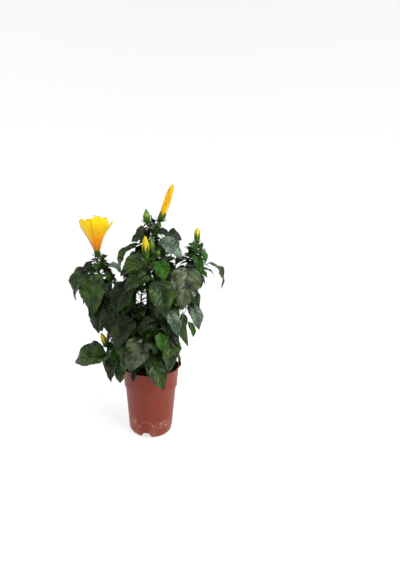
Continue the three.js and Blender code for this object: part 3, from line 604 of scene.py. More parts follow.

# The broad leaves at the front: shoot, share of it, the blade's base, turn, hang, the way
# that its upper side faces, length, width, arch, and the colour that it was dealt.
# Of these colours, grey is partly painted sheen and pale holds a painted reflection of the sky.
FRONT_LEAVES = [
    ("left", 0.8, (-136, -8, 379), 171, 65, 238, 80, 52, 0.16, "mid"),
    ("left", 0.74, (-123, -35, 372), -84, 84, -95, 90, 58, 0.1, "mid"),
    ("left", 0.6, (-111, -18, 308), -150, 80, -110, 78, 44, 0.1, "dark"),
    ("left", 0.86, (-96, -12, 387), 5, 36, -40, 40, 24, 0.28, "pale"),
    ("left", 0.52, (-90, -52, 306), -70, 78, -100, 62, 34, 0.1, "dark"),
    ("top", 0.9, (-15, -2, 453), 185, 28, -130, 32, 34, 0.1, "dark"),
    ("top", 0.84, (-23, -6, 432), -163, 54, 150, 82, 28, 0.26, "pale"),
    ("top", 0.82, (22, -20, 444), -18, 42, -70, 64, 46, 0.1, "pale"),
    ("top", 0.88, (34, 18, 452), 4, 16, -100, 38, 34, 0.1, "dark"),
    ("right", 0.97, (108, -6, 420), -20, 66, -50, 32, 19, 0.14, "young"),
    ("right", 0.95, (97, -14, 412), -60, 76, -80, 38, 22, 0.1, "young"),
    ("right", 0.8, (128, 0, 391), -4, 60, -20, 66, 34, 0.22, "mid"),
    ("right", 0.68, (76, -58, 388), -124, 76, -95, 90, 62, 0.08, "grey"),
    ("front", 0.95, (12, -72, 400), -40, 60, -75, 44, 34, 0.12, "young"),
    ("front", 0.9, (-8, -66, 402), -169, 31, -110, 62, 42, 0.12, "mid"),
    ("front", 0.8, (-6, -90, 377), -163, 36, -100, 62, 42, 0.12, "mid"),
    ("front", 0.7, (-43, -70, 355), -158, 62, -105, 68, 50, 0.1, "dark"),
    ("front", 0.76, (14, -88, 363), -45, 76, -80, 70, 54, 0.1, "mid"),
    ("mid_left", 0.9, (-34, -78, 283), -172, 53, -105, 76, 50, 0.1, "dark"),
    ("low_front", 0.92, (13, -76, 282), -160, 26, -80, 50, 30, 0.1, "dark"),
    ("mid_right", 0.72, (34, -74, 298), 20, 66, -72, 62, 28, 0.1, "pale"),
    ("mid_right", 0.5, (40, -50, 246), -104, 80, -70, 88, 44, 0.1, "mid"),
    ("low_right", 0.9, (88, 0, 301), 0, 70, -78, 68, 32, 0.12, "pale"),
    ("low_right", 0.72, (61, -10, 268), 20, 69, 110, 76, 26, 0.1, "mid"),
    ("low_right", 0.8, (68, -10, 276), 8, 66, -80, 34, 17, 0.14, "young"),
    ("low_right", 0.95, (84, -8, 259), 8, 70, -70, 40, 16, 0.16, "young"),
    ("low_left", 0.94, (-99, -32, 195), 172, 17, -118, 79, 58, 0.1, "mid"),
    ("low_left", 0.84, (-80, -44, 205), -40, 36, -80, 44, 30, 0.1, "young"),
    ("low_left", 0.74, (-66, -32, 180), 164, 40, -120, 48, 26, 0.1, "dark"),
    ("low_left", 0.6, (-58, -48, 178), -140, 76, -120, 46, 30, 0.1, "mid"),
    ("low_front", 0.72, (-14, -76, 241), -154, 64, -100, 74, 52, 0.1, "grey"),
    ("low_front", 0.95, (19, -78, 255), -85, 70, -90, 38, 22, 0.1, "young"),
    ("low_front", 0.55, (-2, -72, 190), -26, 60, -80, 66, 40, 0.1, "mid"),
]

# Flowers and buds: aside is how far the foot stands from the shoot's tip, on a side stem
Bloom = namedtuple("Bloom", "shoot kind aside stalk points lean cup body radius")
BLOOMS = [Bloom(*row) for row in (
    ("left", "open", (0, 0, 0), 3, 200, 3, 15, 76, 34),
    ("top", "rolled", (10.6, -2, -3), 6, 8, 19, 14, 72, 8.2),
    ("top", "green", (-16.4, -4, -5), 5, 200, 4, 12, 19, 8),
    ("front", "tipped", (0, 0, 0), 6, 220, 4, 20, 42, 7.2),
    ("front", "green", (10, 9, 12), 4, 0, 0, 13, 31, 6),
    ("front", "green", (17, 3.5, 9), 3, 0, 25, 8, 15, 4.5),
    ("right", "tipped", (0, 0, 0), 5, 60, 5, 15, 28, 6.6),
    ("low_left", "tipped", (-11.4, -2.5, -3), 4, 185, 20, 11, 30, 6),
    ("back_left", "green", (0, 0, 0), 6, 120, 12, 12, 24, 5.4),
    ("back_right", "tipped", (0, 0, 0), 7, 60, 14, 13, 30, 5.6),
)]
SIDE_STEM_BELOW = 14
BLOOM_STALK = 1.3

# Open places, as seen from the front: left, right, foot and top at the pot's axis
OPEN_PLACES = [
    (-29, -12, 299, 324),
    (68, 150, 120, 188),
    (117, 190, 120, 330),
    (-190, -140, 222, 270),
    (-116, -103, 211, 234),
    (-84, -50, 438, 520),
    (70, 90, 446, 520),
    (126, 190, 404, 520),
]
# Open places of the same kind where only front leaves hang
EDGE_PLACES = [(66, 117, 188, 283)]
print("shoots:", len(SHOOTS), "front leaves:", len(FRONT_LEAVES), "blooms:", len(BLOOMS))

# %% [markdown]
# Blender's own curves could carry the stems, but a leaf has to know where its shoot is at
# any share of its length. A few lines of arithmetic answer that at once.

# %% Curves
def heading(azimuth):
    angle = math.radians(azimuth)
    return Vector((math.cos(angle), math.sin(angle), 0))


def number_stream(seed):
    """A repeatable stream of numbers from 0 to 1."""
    state = seed * 7919 + 17

    def step():
        nonlocal state
        state = state * 48271 % 2147483647
        return state / 2147483647

    step()
    step()
    return step


def on_curve(curve, share):
    start, lower, upper, end = curve
    rest = 1 - share
    early, late = 3 * rest * rest * share, 3 * rest * share * share
    return start * rest**3 + lower * early + upper * late + end * share**3


def way_of(curve, share):
    start, lower, upper, end = curve
    rest = 1 - share
    slope = (lower - start) * (rest * rest) + (upper - lower) * (2 * rest * share)
    return (slope + (end - upper) * share * share).normalized()


def curve_length(curve):
    points = [on_curve(curve, step / 200) for step in range(201)]
    return sum((b - a).length for a, b in zip(points, points[1:]))


print("a turn of 90 degrees heads for +Y:", [round(c) for c in heading(90)])

# %% [markdown]
# The trunk rises straight, leans a little and ends at the fork. Every shoot leaves it at
# its own height and bows outwards and up to its tip. Both are curves with four points, of
# which the middle two only pull.

# %% Trunk and shoots
TRUNK_CURVE = (
    Vector((0, 0, SOIL_TOP + 0.3)),
    Vector((0, 0, mix(SOIL_TOP, TRUNK_TOP, 0.35))),
    Vector((-5, 2.5, mix(SOIL_TOP, TRUNK_TOP, 0.65))),
    Vector((0, 5, TRUNK_TOP)),
)


def trunk_radius(share):
    return 4.9 * (1 - share) ** 3 + mix(8.6, 6, share**4)


def shoot_radius(share):
    return mix(3.3, 1.2, share**0.8)


def shoot_curve(shoot):
    out = heading(shoot.azimuth)
    side = heading(shoot.azimuth + 90) * shoot.sway
    start = on_curve(TRUNK_CURVE, (shoot.leaves_trunk - SOIL_TOP) / (TRUNK_TOP - SOIL_TOP))
    tip = out * shoot.reach + UP * shoot.top
    rise = shoot.top - start.z
    lower = start + out * (shoot.reach * 0.46) + UP * (rise * 0.27) + side
    upper = tip - out * (shoot.reach * 0.05) - UP * (rise * 0.4) + side
    return start, lower, upper, tip


CURVES = {shoot.name: shoot_curve(shoot) for shoot in SHOOTS}
LENGTHS = {name: curve_length(curve) for name, curve in CURVES.items()}
print("longest shoot mm:", round(max(LENGTHS.values())))

# %% [markdown]
# A leaf is a frame at the base of its blade: a chord to its tip, a normal out of its
# upper side and a side across. The blade's outline is widest near its base, arches over
# along its length and folds up a little on both sides of its midrib.

# %% A leaf's middle surface
Leaf = namedtuple("Leaf", "base chord normal side length width arch")


def outline_share(along):
    return along**0.45 * max(0.0, 1 - along) ** 0.95 / 0.415


def leaf_frame(base, turn, hang, face, length, width, arch):
    hang_angle = math.radians(hang)
    chord = heading(turn) * math.cos(hang_angle) - UP * math.sin(hang_angle)
    normal = heading(face) + UP * 0.75
    normal = (normal - chord * normal.dot(chord)).normalized()
    return Leaf(base, chord, normal, chord.cross(normal), length, width, arch)


def blade_point(leaf, along, across):
    half = leaf.width / 2 * outline_share(along)
    rise = leaf.arch * leaf.length * 4 * along * (1 - along) + 0.16 * half * abs(across) * (1 - along)
    return leaf.base + leaf.chord * (leaf.length * along) + leaf.side * (half * across) + leaf.normal * rise


def thickness(leaf):
    return max(leaf.length * 0.02, 0.7)


def room_around(leaf, room):
    if room is not None:
        return room
    return ROOM / 2 if leaf.length < SMALL_LEAF else ROOM


def stalk_radius(leaf):
    return 0.65 if leaf.length < SMALL_LEAF else 0.95


# %% [markdown]
# To know whether a leaf fits, each leaf claims a plain closed shape a little larger than
# itself. A search tree over its faces finds quickly whether two such shapes cross. The
# shapes are moved copies of a few templates, made once with operators.

# %% Claimed space
def points_and_faces(bm):
    """What a search tree is made from. The bmesh is freed."""
    points = [vert.co.copy() for vert in bm.verts]
    faces = [[vert.index for vert in face.verts] for face in bm.faces]
    bm.free()
    return points, faces


def template(make):
    bm = bmesh.new()
    make(bm)
    return points_and_faces(bm)


BLADE_TEMPLATE = template(lambda bm: bmesh.ops.create_uvsphere(bm, u_segments=4, v_segments=4, radius=1))
STALK_TEMPLATE = template(
    lambda bm: bmesh.ops.create_cone(bm, cap_ends=True, segments=3, radius1=1, radius2=1, depth=1)
)
BOX_TEMPLATE = template(lambda bm: bmesh.ops.create_cube(bm, size=1))

Claim = namedtuple("Claim", "tree low high points owner kind")


def claim(shape, place, owner, kind):
    points = [place(point) for point in shape[0]]
    low = Vector(min(p[axis] for p in points) for axis in range(3))
    high = Vector(max(p[axis] for p in points) for axis in range(3))
    return Claim(BVHTree.FromPolygons(points, shape[1]), low, high, points, owner, kind)


def rod(start, end, radius, reference):
    """Where a template of length 1 along Z goes, between two points."""
    way = (end - start).normalized()
    across = (reference - way * reference.dot(way)).normalized()
    third = across.cross(way)
    return lambda p: start.lerp(end, p.z + 0.5) + (across * p.x + third * p.y) * radius


print("faces of a claimed blade:", len(BLADE_TEMPLATE[1]))

# %% [markdown]
# A blade claims a bent diamond with a little air round it, and its stalk a thin prism. Two
# places are tested point by point, because that is quicker: the open places between the
# shoots and the pot below.

# %% Room for a leaf
def blade_room(leaf, owner, room=None):
    room = room_around(leaf, room)
    thick = thickness(leaf) / 2 + room

    def place(p):
        ring = math.hypot(p.x, p.y)
        across = p.x / ring if ring > 1e-6 else 0
        through = p.y / ring if ring > 1e-6 else 0
        point = blade_point(leaf, (1 + p.z) / 2, across) + leaf.normal * (through * thick)
        return point + leaf.side * (across * room) + leaf.chord * (p.z * room)

    return claim(BLADE_TEMPLATE, place, owner, "blade")


def stalk_room(root, leaf, owner, room=None):
    reference = leaf.side + leaf.chord * 0.1
    start = root.lerp(leaf.base, 0.15)
    radius = stalk_radius(leaf) + room_around(leaf, room) / 2
    return claim(STALK_TEMPLATE, rod(start, leaf.base, radius, reference), owner, "stalk")


def in_open_place(point):
    scale = 1 - point.y / VIEW_POINT[1]
    across = point.x / scale
    height = VIEW_POINT[2] + (point.z - VIEW_POINT[2]) / scale
    return any(left < across < right and foot < height < top for left, right, foot, top in kept_open)


def in_pot(point):
    return point.z < POT_HEIGHT + ROOM and math.hypot(point.x, point.y) < RIM_RADIUS + LIP_OUT + ROOM - 1


def meets(one, other):
    if any(one.low[a] > other.high[a] or other.low[a] > one.high[a] for a in range(3)):
        return False
    return bool(one.tree.overlap(other.tree))


kept_open = []
print("room round a leaf mm:", ROOM)

# %% [markdown]
# ## Flowers and buds as shapes
#
# Buds and the open flower are turned about an axis that leans out from a shoot's tip.
# First come the plain turned bodies, which only claim their space.

# %% Bloom axes and claims
def bloom_place(bloom):
    """A function from (x, y, distance along the axis) to the bloom's place."""
    foot = CURVES[bloom.shoot][3] + Vector(bloom.aside)
    lean = math.radians(bloom.lean)
    axis = heading(bloom.points) * math.sin(lean) + UP * math.cos(lean)
    across = axis.cross(Vector((0, 1, 0))).normalized()
    third = across.cross(axis)
    return lambda p: foot + axis * p.z + across * p.y + third * p.x


def side_stem_ends(bloom):
    start = on_curve(CURVES[bloom.shoot], 1 - SIDE_STEM_BELOW / LENGTHS[bloom.shoot])
    return start, CURVES[bloom.shoot][3] + Vector(bloom.aside)


def bud_outline(bloom, shares):
    cup_top = bloom.stalk + bloom.cup
    start = cup_top - bloom.cup * 0.4
    end = cup_top + bloom.body - (0 if bloom.kind == "rolled" else bloom.cup * 0.55)
    pointed = [bloom.radius * math.sin(math.pi * share**0.8) ** 0.6 for share in shares]
    return [(radius, mix(start, end, share)) for radius, share in zip(pointed, shares)] + [(0, end)]


ROLL_WIDTHS = (0.8, 0.97, 0.95, 0.7)
FUNNEL = [(0.12, 0.0), (0.18, 0.12), (0.36, 0.2), (0.63, 0.43), (0.9, 0.68), (1.0, 0.86), (0.94, 1.0)]


def bloom_claims(bloom):
    cup_top = bloom.stalk + bloom.cup
    foot = [(0, -3), (1.3, -3), (1.3, bloom.stalk)]
    if bloom.kind == "open":
        outer_wall = [(r * bloom.radius, h * bloom.body + cup_top - 3) for r, h in FUNNEL]
        profile = foot + [(5, bloom.stalk + 4.5)] + outer_wall + [(0, cup_top + bloom.body)]
    else:
        cup = [(bloom.radius * 0.95, mix(bloom.stalk, cup_top, 0.3))]
        body = bud_outline(bloom, (0.1, 0.4, 0.7, 0.9))
        if bloom.kind == "rolled":
            body = [(wide * bloom.radius, height) for wide, (_, height) in zip(ROLL_WIDTHS, body)] + body[-1:]
        profile = foot + cup + body
    shape = points_and_faces(spun(profile, 20 if bloom.kind == "open" else 7))
    return claim(shape, bloom_place(bloom), bloom.shoot, "blade")


claims = [bloom_claims(bloom) for bloom in BLOOMS]
print("claims of buds and flowers:", len(claims))

# %% [markdown]
# The stems come next, each as a row of slim boxes. The last claims are wedges of plain air
# that narrow towards the viewer. They keep the gaps between the shoots open, through which
# the light shows.

# %% Claims of stems and open places
LIMB_PARTS = 12


def claim_rod(shape, start, end, radius, reference, owner, kind):
    claims.append(claim(shape, rod(start, end, radius, reference), owner, kind))


for bloom in BLOOMS:
    if any(bloom.aside):
        start, end = side_stem_ends(bloom)
        claim_rod(STALK_TEMPLATE, start, end, BLOOM_STALK, Vector((0, 1, 0)), bloom.shoot, "blade")
for low_share, high_share in [(part / LIMB_PARTS, (part + 1) / LIMB_PARTS) for part in range(LIMB_PARTS)]:
    for shoot in SHOOTS:
        curve = CURVES[shoot.name]
        start, end = on_curve(curve, max(0.02, low_share)), on_curve(curve, high_share)
        radius = (shoot_radius((low_share + high_share) / 2) + ROOM) * 1.7
        claim_rod(BOX_TEMPLATE, start, end, radius, heading(shoot.azimuth + 90), shoot.name, "limb")
claim_rod(BOX_TEMPLATE, TRUNK_CURVE[0], TRUNK_CURVE[3], 15, Vector((1, 0, 0)), "trunk", "limb")


def keep_open(places):
    """Claims the wedges of space that the viewer looks through."""
    kept_open.extend(places)
    for left, right, foot, top in places:

        def sight_cone(p, left=left, right=right, foot=foot, top=top):
            depth = p.y * 2 * CROWN_RADIUS
            scale = 1 - depth / VIEW_POINT[1]
            height = VIEW_POINT[2] + (mix(foot, top, p.z + 0.5) - VIEW_POINT[2]) * scale
            return Vector((mix(left, right, p.x + 0.5) * scale, depth, height))

        claims.append(claim(BOX_TEMPLATE, sight_cone, "open", "blade"))


keep_open(OPEN_PLACES)
print("claims before the leaves:", len(claims))

# %% [markdown]
# Now the leaves grow. A leaf fits if it stays inside the crown and the solids' own box,
# clear of the open places and the pot, and meets no other claim. A stalk may start inside
# its own shoot.

# %% Fit a leaf
Grown = namedtuple("Grown", "shoot at root leaf colour")
grown = []
PAST_THE_BOX = 2


def claims_near(point, reach):
    """The claims that a leaf from this point could ever touch."""
    low, high = point - Vector((reach, reach, reach)), point + Vector((reach, reach, reach))
    return [
        other
        for other in claims
        if other.low.x < high.x and other.high.x > low.x
        and other.low.y < high.y and other.high.y > low.y
        and other.low.z < high.z and other.high.z > low.z
    ]


def leaf_fits(leaf, blade, stalk, name, near):
    tip = blade_point(leaf, 1, 0)
    if min(tip.z, leaf.base.z) < LOWEST_LEAF or math.hypot(tip.x, tip.y) > CROWN_RADIUS:
        return False
    for low, place, high in zip(solid_box[0], tip, solid_box[1]):
        if not low / MM - PAST_THE_BOX < place < high / MM + PAST_THE_BOX:
            return False
    if any(in_open_place(p) or in_pot(p) for p in blade.points) or any(in_pot(p) for p in stalk.points):
        return False
    for other in near:
        if meets(blade, other):
            return False
        own_limb = other.owner == name and other.kind != "blade"
        if not own_limb and other.owner != "open" and meets(stalk, other):
            return False
    return True


def try_leaf(name, at, leaf, colour, near, room=None):
    root = on_curve(CURVES[name], at)
    blade, stalk = blade_room(leaf, name, room), stalk_room(root, leaf, name, room)
    if not leaf_fits(leaf, blade, stalk, name, near):
        return False
    claims.extend((blade, stalk))
    grown.append(Grown(name, at, root, leaf, colour))
    return True


print("lowest leaf mm:", LOWEST_LEAF, "crown radius mm:", CROWN_RADIUS)

# %% [markdown]
# The front leaves come first, because they give the plant its face. Where one meets
# another, it moves a little back or forth, which hardly shows from the front.

# %% Front leaves
def hang_leaf(row, depth_steps, reach, room=None):
    """Hangs a leaf at its own place, or a little before or behind it."""
    name, at, place, turn, hang, face, length, width, arch, colour = row
    near = claims_near(Vector(place), reach)
    for step in depth_steps:
        leaf = leaf_frame(Vector(place) + Vector((0, step, 0)), turn, hang, face, length, width, arch)
        if try_leaf(name, at, leaf, colour, near, room):
            return
    print("no room:", name, place)


for row in FRONT_LEAVES:
    hang_leaf(row, DEPTH_STEPS, 200)
keep_open(EDGE_PLACES)
print("front leaves placed:", len(grown), "of", len(FRONT_LEAVES))

# %% [markdown]
# Each shoot then fills up from its tip down, by the growing rule. A young leaf stands up
# on a short stalk, an old one hangs on a long one. A leaf without room is turned about its
# shoot, then hung steeper or flatter, and left out if nothing helps.

# %% Leaves by the rule
def stalk_end(root, turn, rise, stalk):
    return root + heading(turn) * (math.cos(rise) * stalk) + UP * (math.sin(rise) * stalk)


def grow_leaves(shoot):
    draw = number_stream(shoot.seed)
    length = LENGTHS[shoot.name]
    ageing = min(LEAF_AGEING, length * 0.6)
    upright = shoot.reach < UPRIGHT_REACH
    farthest = shoot.reach + (UPRIGHT_SPREAD if upright else SPREAD)
    below = FIRST_SPACING
    index = 0
    while below < (1 - shoot.enters) * length - 6:
        draws = [draw() for _ in range(DRAWS_PER_LEAF)]
        age = min(1, below / ageing)
        size = mix(YOUNGEST_LEAF, FULL_LEAF, age**1.7) * mix(0.88, 1.12, draws[0])
        natural = shoot.phase + GOLDEN_ANGLE * index + mix(-14, 14, draws[1])
        swing = (natural - shoot.azimuth + 180) % 360 - 180
        outward = shoot.azimuth + swing * (1 if upright else 0.75)
        hang = mix(4, 66, math.sqrt(age)) + mix(-12, 12, draws[2])
        rise = math.radians(mix(52, 25, age))
        stalk = size * mix(0.28, 0.46, draws[3])
        width = size * mix(0.58, 0.72, draws[4])
        at = 1 - below / length
        root = on_curve(CURVES[shoot.name], at)
        colour = "young" if size < YOUNG_UNDER else ("mid", "dark", "dark")[int(draws[1] * 2.999)]
        near = claims_near(root, stalk + size * 1.2)
        for drop, nudge in product(HANG_STEPS, TURN_STEPS):
            turn = outward + nudge
            shrink = 0.82 if abs(nudge) > 50 else 1
            base = stalk_end(root, turn, rise, stalk)
            face = turn + mix(-25, 25, draws[5])
            arch = mix(0.17, 0.11, age)
            leaf = leaf_frame(base, turn, hang + drop, face, size * shrink, width * shrink, arch)
            tip = blade_point(leaf, 1, 0)
            if math.hypot(tip.x, tip.y) < farthest and try_leaf(shoot.name, at, leaf, colour, near):
                break
        below += FIRST_SPACING + SPACING_GROWTH * index
        index += 1


for shoot in SHOOTS:
    grow_leaves(shoot)
print("leaves grown by the rule:", len(grown))

# %% [markdown]
# The real tips are crowded with half-open leaves no longer than a thumb, and more leaves
# fill the dark inside of the crown. They are too many for the solids, so they come here,
# between the others, wherever one still fits.

# %% Tips of the shoots
FILL_TURNS = [0, 25, -25, 50, -50, 80, -80, 115, -115, 160]
FILL_HANGS = [0, 18, -18]
FILL_ROOM = 0.1


def fill_leaves(shoot, count, first, spacing, sizes, hangs, rises, stalks, colours):
    """Adds leaves from the tip down. Each pair gives the value at the tip and at the end."""
    draw = number_stream(shoot.seed + count)
    length = LENGTHS[shoot.name]
    for index in range(count):
        below = first + spacing * index
        if below > (1 - shoot.enters * 0.6) * length:
            return
        draws = [draw() for _ in range(DRAWS_PER_TIP_LEAF)]
        share = index / count
        size = mix(*sizes, share) * mix(0.82, 1.18, draws[0])
        stalk = size * mix(*stalks, draws[1])
        rise = math.radians(mix(*rises, share))
        at = 1 - below / length
        root = on_curve(CURVES[shoot.name], at)
        near = claims_near(root, stalk + size * 1.2)
        colour = colours[int(draws[2] * len(colours) * 0.999)]
        for drop, nudge in product(FILL_HANGS, FILL_TURNS):
            turn = shoot.phase + 70 + GOLDEN_ANGLE * index + nudge
            base = stalk_end(root, turn, rise, stalk)
            face = turn + mix(-40, 40, draws[2])
            hang = mix(*hangs, share) + mix(-14, 14, draws[3]) + drop
            leaf = leaf_frame(base, turn, hang, face, size, size * mix(0.56, 0.7, draws[4]), 0.16)
            if try_leaf(shoot.name, at, leaf, colour, near, FILL_ROOM):
                break


TIP_COLOURS = {"left": ("dark", "mid"), "top": ("dark", "mid", "mid"), "right": ("young", "young", "mid")}
for shoot in SHOOTS:
    colours = TIP_COLOURS.get(shoot.name, ("young", "mid", "mid"))
    fill_leaves(shoot, 44, 1, 1.8, (17, 36), (-50, 62), (62, 26), (0.15, 0.4), colours)
    if shoot.name in ("right", "top"):
        fill_leaves(shoot, 40, 14, 2.2, (15, 24), (-20, 70), (60, 10), (0.2, 1.4), colours)
print("leaves with the tips:", len(grown))

# %% [markdown]
# Where a bud stands beside a shoot's tip, its side stem is dressed with leaflets too. Four
# short leaves close the tufts under the flower and the rolled bud, and at last come the
# leaves inside the crown, mostly dark and hanging.

# %% Side stems and the inside
SIDE_LEAFLETS = 14
BACKING_STEPS = [0, 5, -5, 10, 15, 20, 26, 32, 40, 50]
BACKING_LEAVES = [
    ("top", 0.96, (-10, -12, 466), -170, 30, -100, 28, 20, 0.12, "dark"),
    ("top", 0.95, (16, -10, 462), 0, 30, -80, 28, 20, 0.12, "dark"),
    ("left", 0.97, (-104, -12, 392), -100, 60, -90, 26, 20, 0.12, "dark"),
    ("left", 0.96, (-126, -12, 390), 190, 30, -100, 28, 20, 0.12, "dark"),
]


def dress_side_stem(bloom):
    start, end = side_stem_ends(bloom)
    for index in range(SIDE_LEAFLETS):
        share = index / (SIDE_LEAFLETS - 1)
        root = start.lerp(end, mix(0.15, 0.95, share))
        size = 13 + index % 4 * 3
        turn = bloom.points + GOLDEN_ANGLE * index
        base = root + heading(turn) * 2.5 + UP * 3
        leaf = leaf_frame(base, turn, mix(10, -45, share), turn, size, size * 0.6, 0.16)
        blade = blade_room(leaf, bloom.shoot, 0)
        if not any(other.kind == "blade" and meets(blade, other) for other in claims_near(root, 30)):
            claims.append(blade)
            grown.append(Grown(bloom.shoot, 1, root, leaf, "mid"))


for bloom in BLOOMS:
    if any(bloom.aside):
        dress_side_stem(bloom)
for row in BACKING_LEAVES:
    hang_leaf(row, BACKING_STEPS, 100, FILL_ROOM)
print("leaves with the side stems:", len(grown))
for shoot in SHOOTS:
    fill_leaves(shoot, 42, 36, 5.5, (40, 66), (40, 72), (30, 12), (0.25, 0.7), ("mid", "dark", "dark"))
    fill_leaves(shoot, 30, 52, 7, (30, 46), (20, 78), (40, 5), (0.3, 0.9), ("dark", "mid"))
print("leaves with the inside:", len(grown))

# %% [markdown]
# ## Leaf blades
#
# A hibiscus leaf is glossy and quilted: it bulges between its side veins, its edge waves
# and has teeth, and no two hang alike. Two flat blanks with a lower side are made from a
# grid, a fine one for broad leaves and a coarse one for the many small ones. Each leaf is
# a blank bent over its middle surface, which keeps rows of faces along the veins. The
# blank's own map then tells the finish where on the leaf it is.

# %% Leaf blanks
# grey has painted warm-grey sheen in its colour, and pale a painted bluish sky reflection
LEAF_FINISHES = ["dark", "mid", "young", "grey", "pale", "under"]
UNDERSIDE = LEAF_FINISHES.index("under")
VEIN_PAIRS = 6
VEIN_SLANT = 0.28
BLADE_THICKNESS = 0.45
TEETH = 20
EDGE_WAVES = 13


def leaf_blank(columns, rows):
    bm = empty_shape("leaf")
    bmesh.ops.create_grid(bm, x_segments=columns, y_segments=rows, size=1, calc_uvs=True)
    for item in bmesh.ops.solidify(bm, geom=bm.faces[:], thickness=0.01)["geom"]:
        if isinstance(item, bmesh.types.BMFace):
            item.material_index = UNDERSIDE
    blank = bpy.data.meshes.new("blank")
    bm.to_mesh(blank)
    bm.free()
    return blank


broad_blank, small_blank = leaf_blank(16, 28), leaf_blank(4, 6)
print("faces of a broad leaf:", len(broad_blank.polygons), "of a small one:", len(small_blank.polygons))

# %% Leaf shape
Mood = namedtuple("Mood", "phase fold curl twist")


def fine_point(leaf, along, across, mood):
    """The blade's middle surface with its teeth, quilting, waves and curl."""
    reach = abs(across)
    tooth = 1 - 0.06 * reach**6 * (0.5 + 0.5 * math.cos(along * TEETH * math.pi)) * min(1, along * 4)
    point = blade_point(leaf, along, across * tooth)
    vein = abs(math.sin(math.pi * VEIN_PAIRS * (along - VEIN_SLANT * reach))) ** 0.8
    quilt = vein * min(1, reach * 4) * (1 - 0.5 * reach**4) * (1 - along) ** 0.4
    pucker = noise.noise(point * 0.09 + Vector((mood.phase, 0, 0))) + 0.25 * noise.noise(point * 0.2)
    half = leaf.width / 2 * outline_share(along)
    lift = leaf.length * (0.036 * quilt + 0.045 * pucker * min(1, reach * 3))
    wave = math.sin(along * EDGE_WAVES + mood.phase + (2 if across > 0 else 0))
    lift += half * reach * (mood.fold + 0.16 * reach * wave)
    lift += half * across * along * mood.twist
    lift -= leaf.length * mood.curl * max(0.0, along - 0.5) ** 2
    return point + leaf.normal * lift


def add_blade(bm, leaf, finish_index, mood, blank, ends):
    """Bends a copy of a blank to a leaf. ends collects the corners that close its ends."""
    bm.verts.ensure_lookup_table()
    bm.faces.ensure_lookup_table()
    first_vert, first_face = len(bm.verts), len(bm.faces)
    bm.from_mesh(blank)
    bm.verts.ensure_lookup_table()
    bm.faces.ensure_lookup_table()
    for vert in bm.verts[first_vert:]:
        across, along, lower = vert.co.x, (vert.co.y + 1) / 2, vert.co.z < -0.005
        vert.co = fine_point(leaf, along, across, mood)
        if lower:
            vert.co -= leaf.normal * BLADE_THICKNESS
        if along < 0.001 or along > 0.999:
            ends.append(vert)
    for face in bm.faces[first_face:]:
        if face.material_index != UNDERSIDE:
            face.material_index = finish_index


def add_leaves(name):
    bm = empty_shape("leaf")
    draw = number_stream(len(name) * 31 + 7)
    ends = []
    for entry in grown:
        if entry.shoot != name:
            continue
        mood = Mood(draw() * 6.3, mix(-0.12, 0.3, draw()), mix(-0.1, 0.4, draw()), mix(-0.35, 0.35, draw()))
        blank = broad_blank if entry.leaf.length >= SMALL_LEAF else small_blank
        add_blade(bm, entry.leaf, LEAF_FINISHES.index(entry.colour), mood, blank, ends)
    bmesh.ops.remove_doubles(bm, verts=ends, dist=1e-3)
    return bm


print("veins on each side of a midrib:", VEIN_PAIRS)

# %% [markdown]
# A leaf could wear a painted map, but veins follow a simple rule. The finish draws a pale
# midrib and side veins where the grid's map says they are, with the surface sinking along
# them. The wax on the upper side is a thin coat. Each leaf has one of five mottled greens,
# and all share a paler, matt underside. Two of the greens hold painted light: the grey one
# has painted warm-grey sheen in its pale patches, and the pale one is a green with a
# painted bluish reflection of the sky in it.

# %% Leaf finishes
def leaf_finish(name, deep, pale, vein, roughness, coat, relief):
    material = finish(name, roughness, Coat_Weight=coat, Coat_Roughness=0.22, Specular_IOR_Level=0.12)
    place = split_axes(material, "leaf")
    across = reckon("ABSOLUTE", reckon("SUBTRACT", reckon("MULTIPLY", place["X"], 2), 1))
    slanted = reckon("SUBTRACT", place["Y"], reckon("MULTIPLY", across, VEIN_SLANT))
    side_vein = reckon("PINGPONG", reckon("MULTIPLY", slanted, VEIN_PAIRS), 0.5)
    veins = reckon("MAXIMUM", between(across, 0.07, 0.015), between(side_vein, 0.09, 0.02, 0, 0.75))
    mottle = speckle(material, 45, 3)
    net = speckle(material, 380, 4)
    colour = blend_colours(between(mottle, 0.38, 0.66), deep, pale)
    colour = blend_colours(reckon("MULTIPLY", veins, 0.3), colour, vein)
    colour = blend_colours(between(net, 0.45, 0.7, 0, 0.22), colour, deep)
    height = reckon("SUBTRACT", reckon("MULTIPLY", net, 0.3), veins)
    height = reckon("ADD", height, reckon("MULTIPLY", side_vein, 1.4))
    rough = between(mottle, 0.3, 0.75, roughness - 0.05, roughness + 0.12)
    return wear(material, colour, rough, height, relief, 0.0012)


leaf_finishes = [
    leaf_finish("leaf_dark", (12, 24, 5), (36, 54, 18), (70, 92, 40), 0.34, 0.18, 0.8),
    leaf_finish("leaf_mid", (18, 38, 7), (56, 83, 25), (100, 122, 54), 0.3, 0.28, 0.8),
    leaf_finish("leaf_young", (18, 52, 2), (44, 92, 6), (90, 130, 34), 0.34, 0.1, 0.4),
    # A grey-green leaf whose pale patches are painted warm-grey sheen, beside its real glossy coat.
    leaf_finish("leaf_grey", (22, 36, 14), (84, 96, 64), (112, 126, 84), 0.26, 0.6, 1.0),
    # A green leaf with a painted bluish reflection of the sky in its colour.
    leaf_finish("leaf_pale", (44, 66, 46), (98, 120, 100), (130, 150, 128), 0.28, 0.6, 0.9),
    leaf_finish("leaf_under", (66, 88, 50), (90, 112, 72), (124, 142, 96), 0.6, 0.0, 0.6),
]
for shoot in SHOOTS:
    leaves = add_leaves(shoot.name)
    make_piece(leaves, "leaves_" + shoot.name, leaf_finishes, ["foliage_" + shoot.name])

# %% [markdown]
# ## Stems, boughs and trunk
#
# A limb is a tube along a curve. A curve object with a round bevel could make it, but its
# rings can't be shared out finely. Here a plain upright tube is cut into rings once, as a
# blank, and a copy of it is bent along each curve, with a radius that changes on the way.

# %% Tubes
tube_blanks = {}


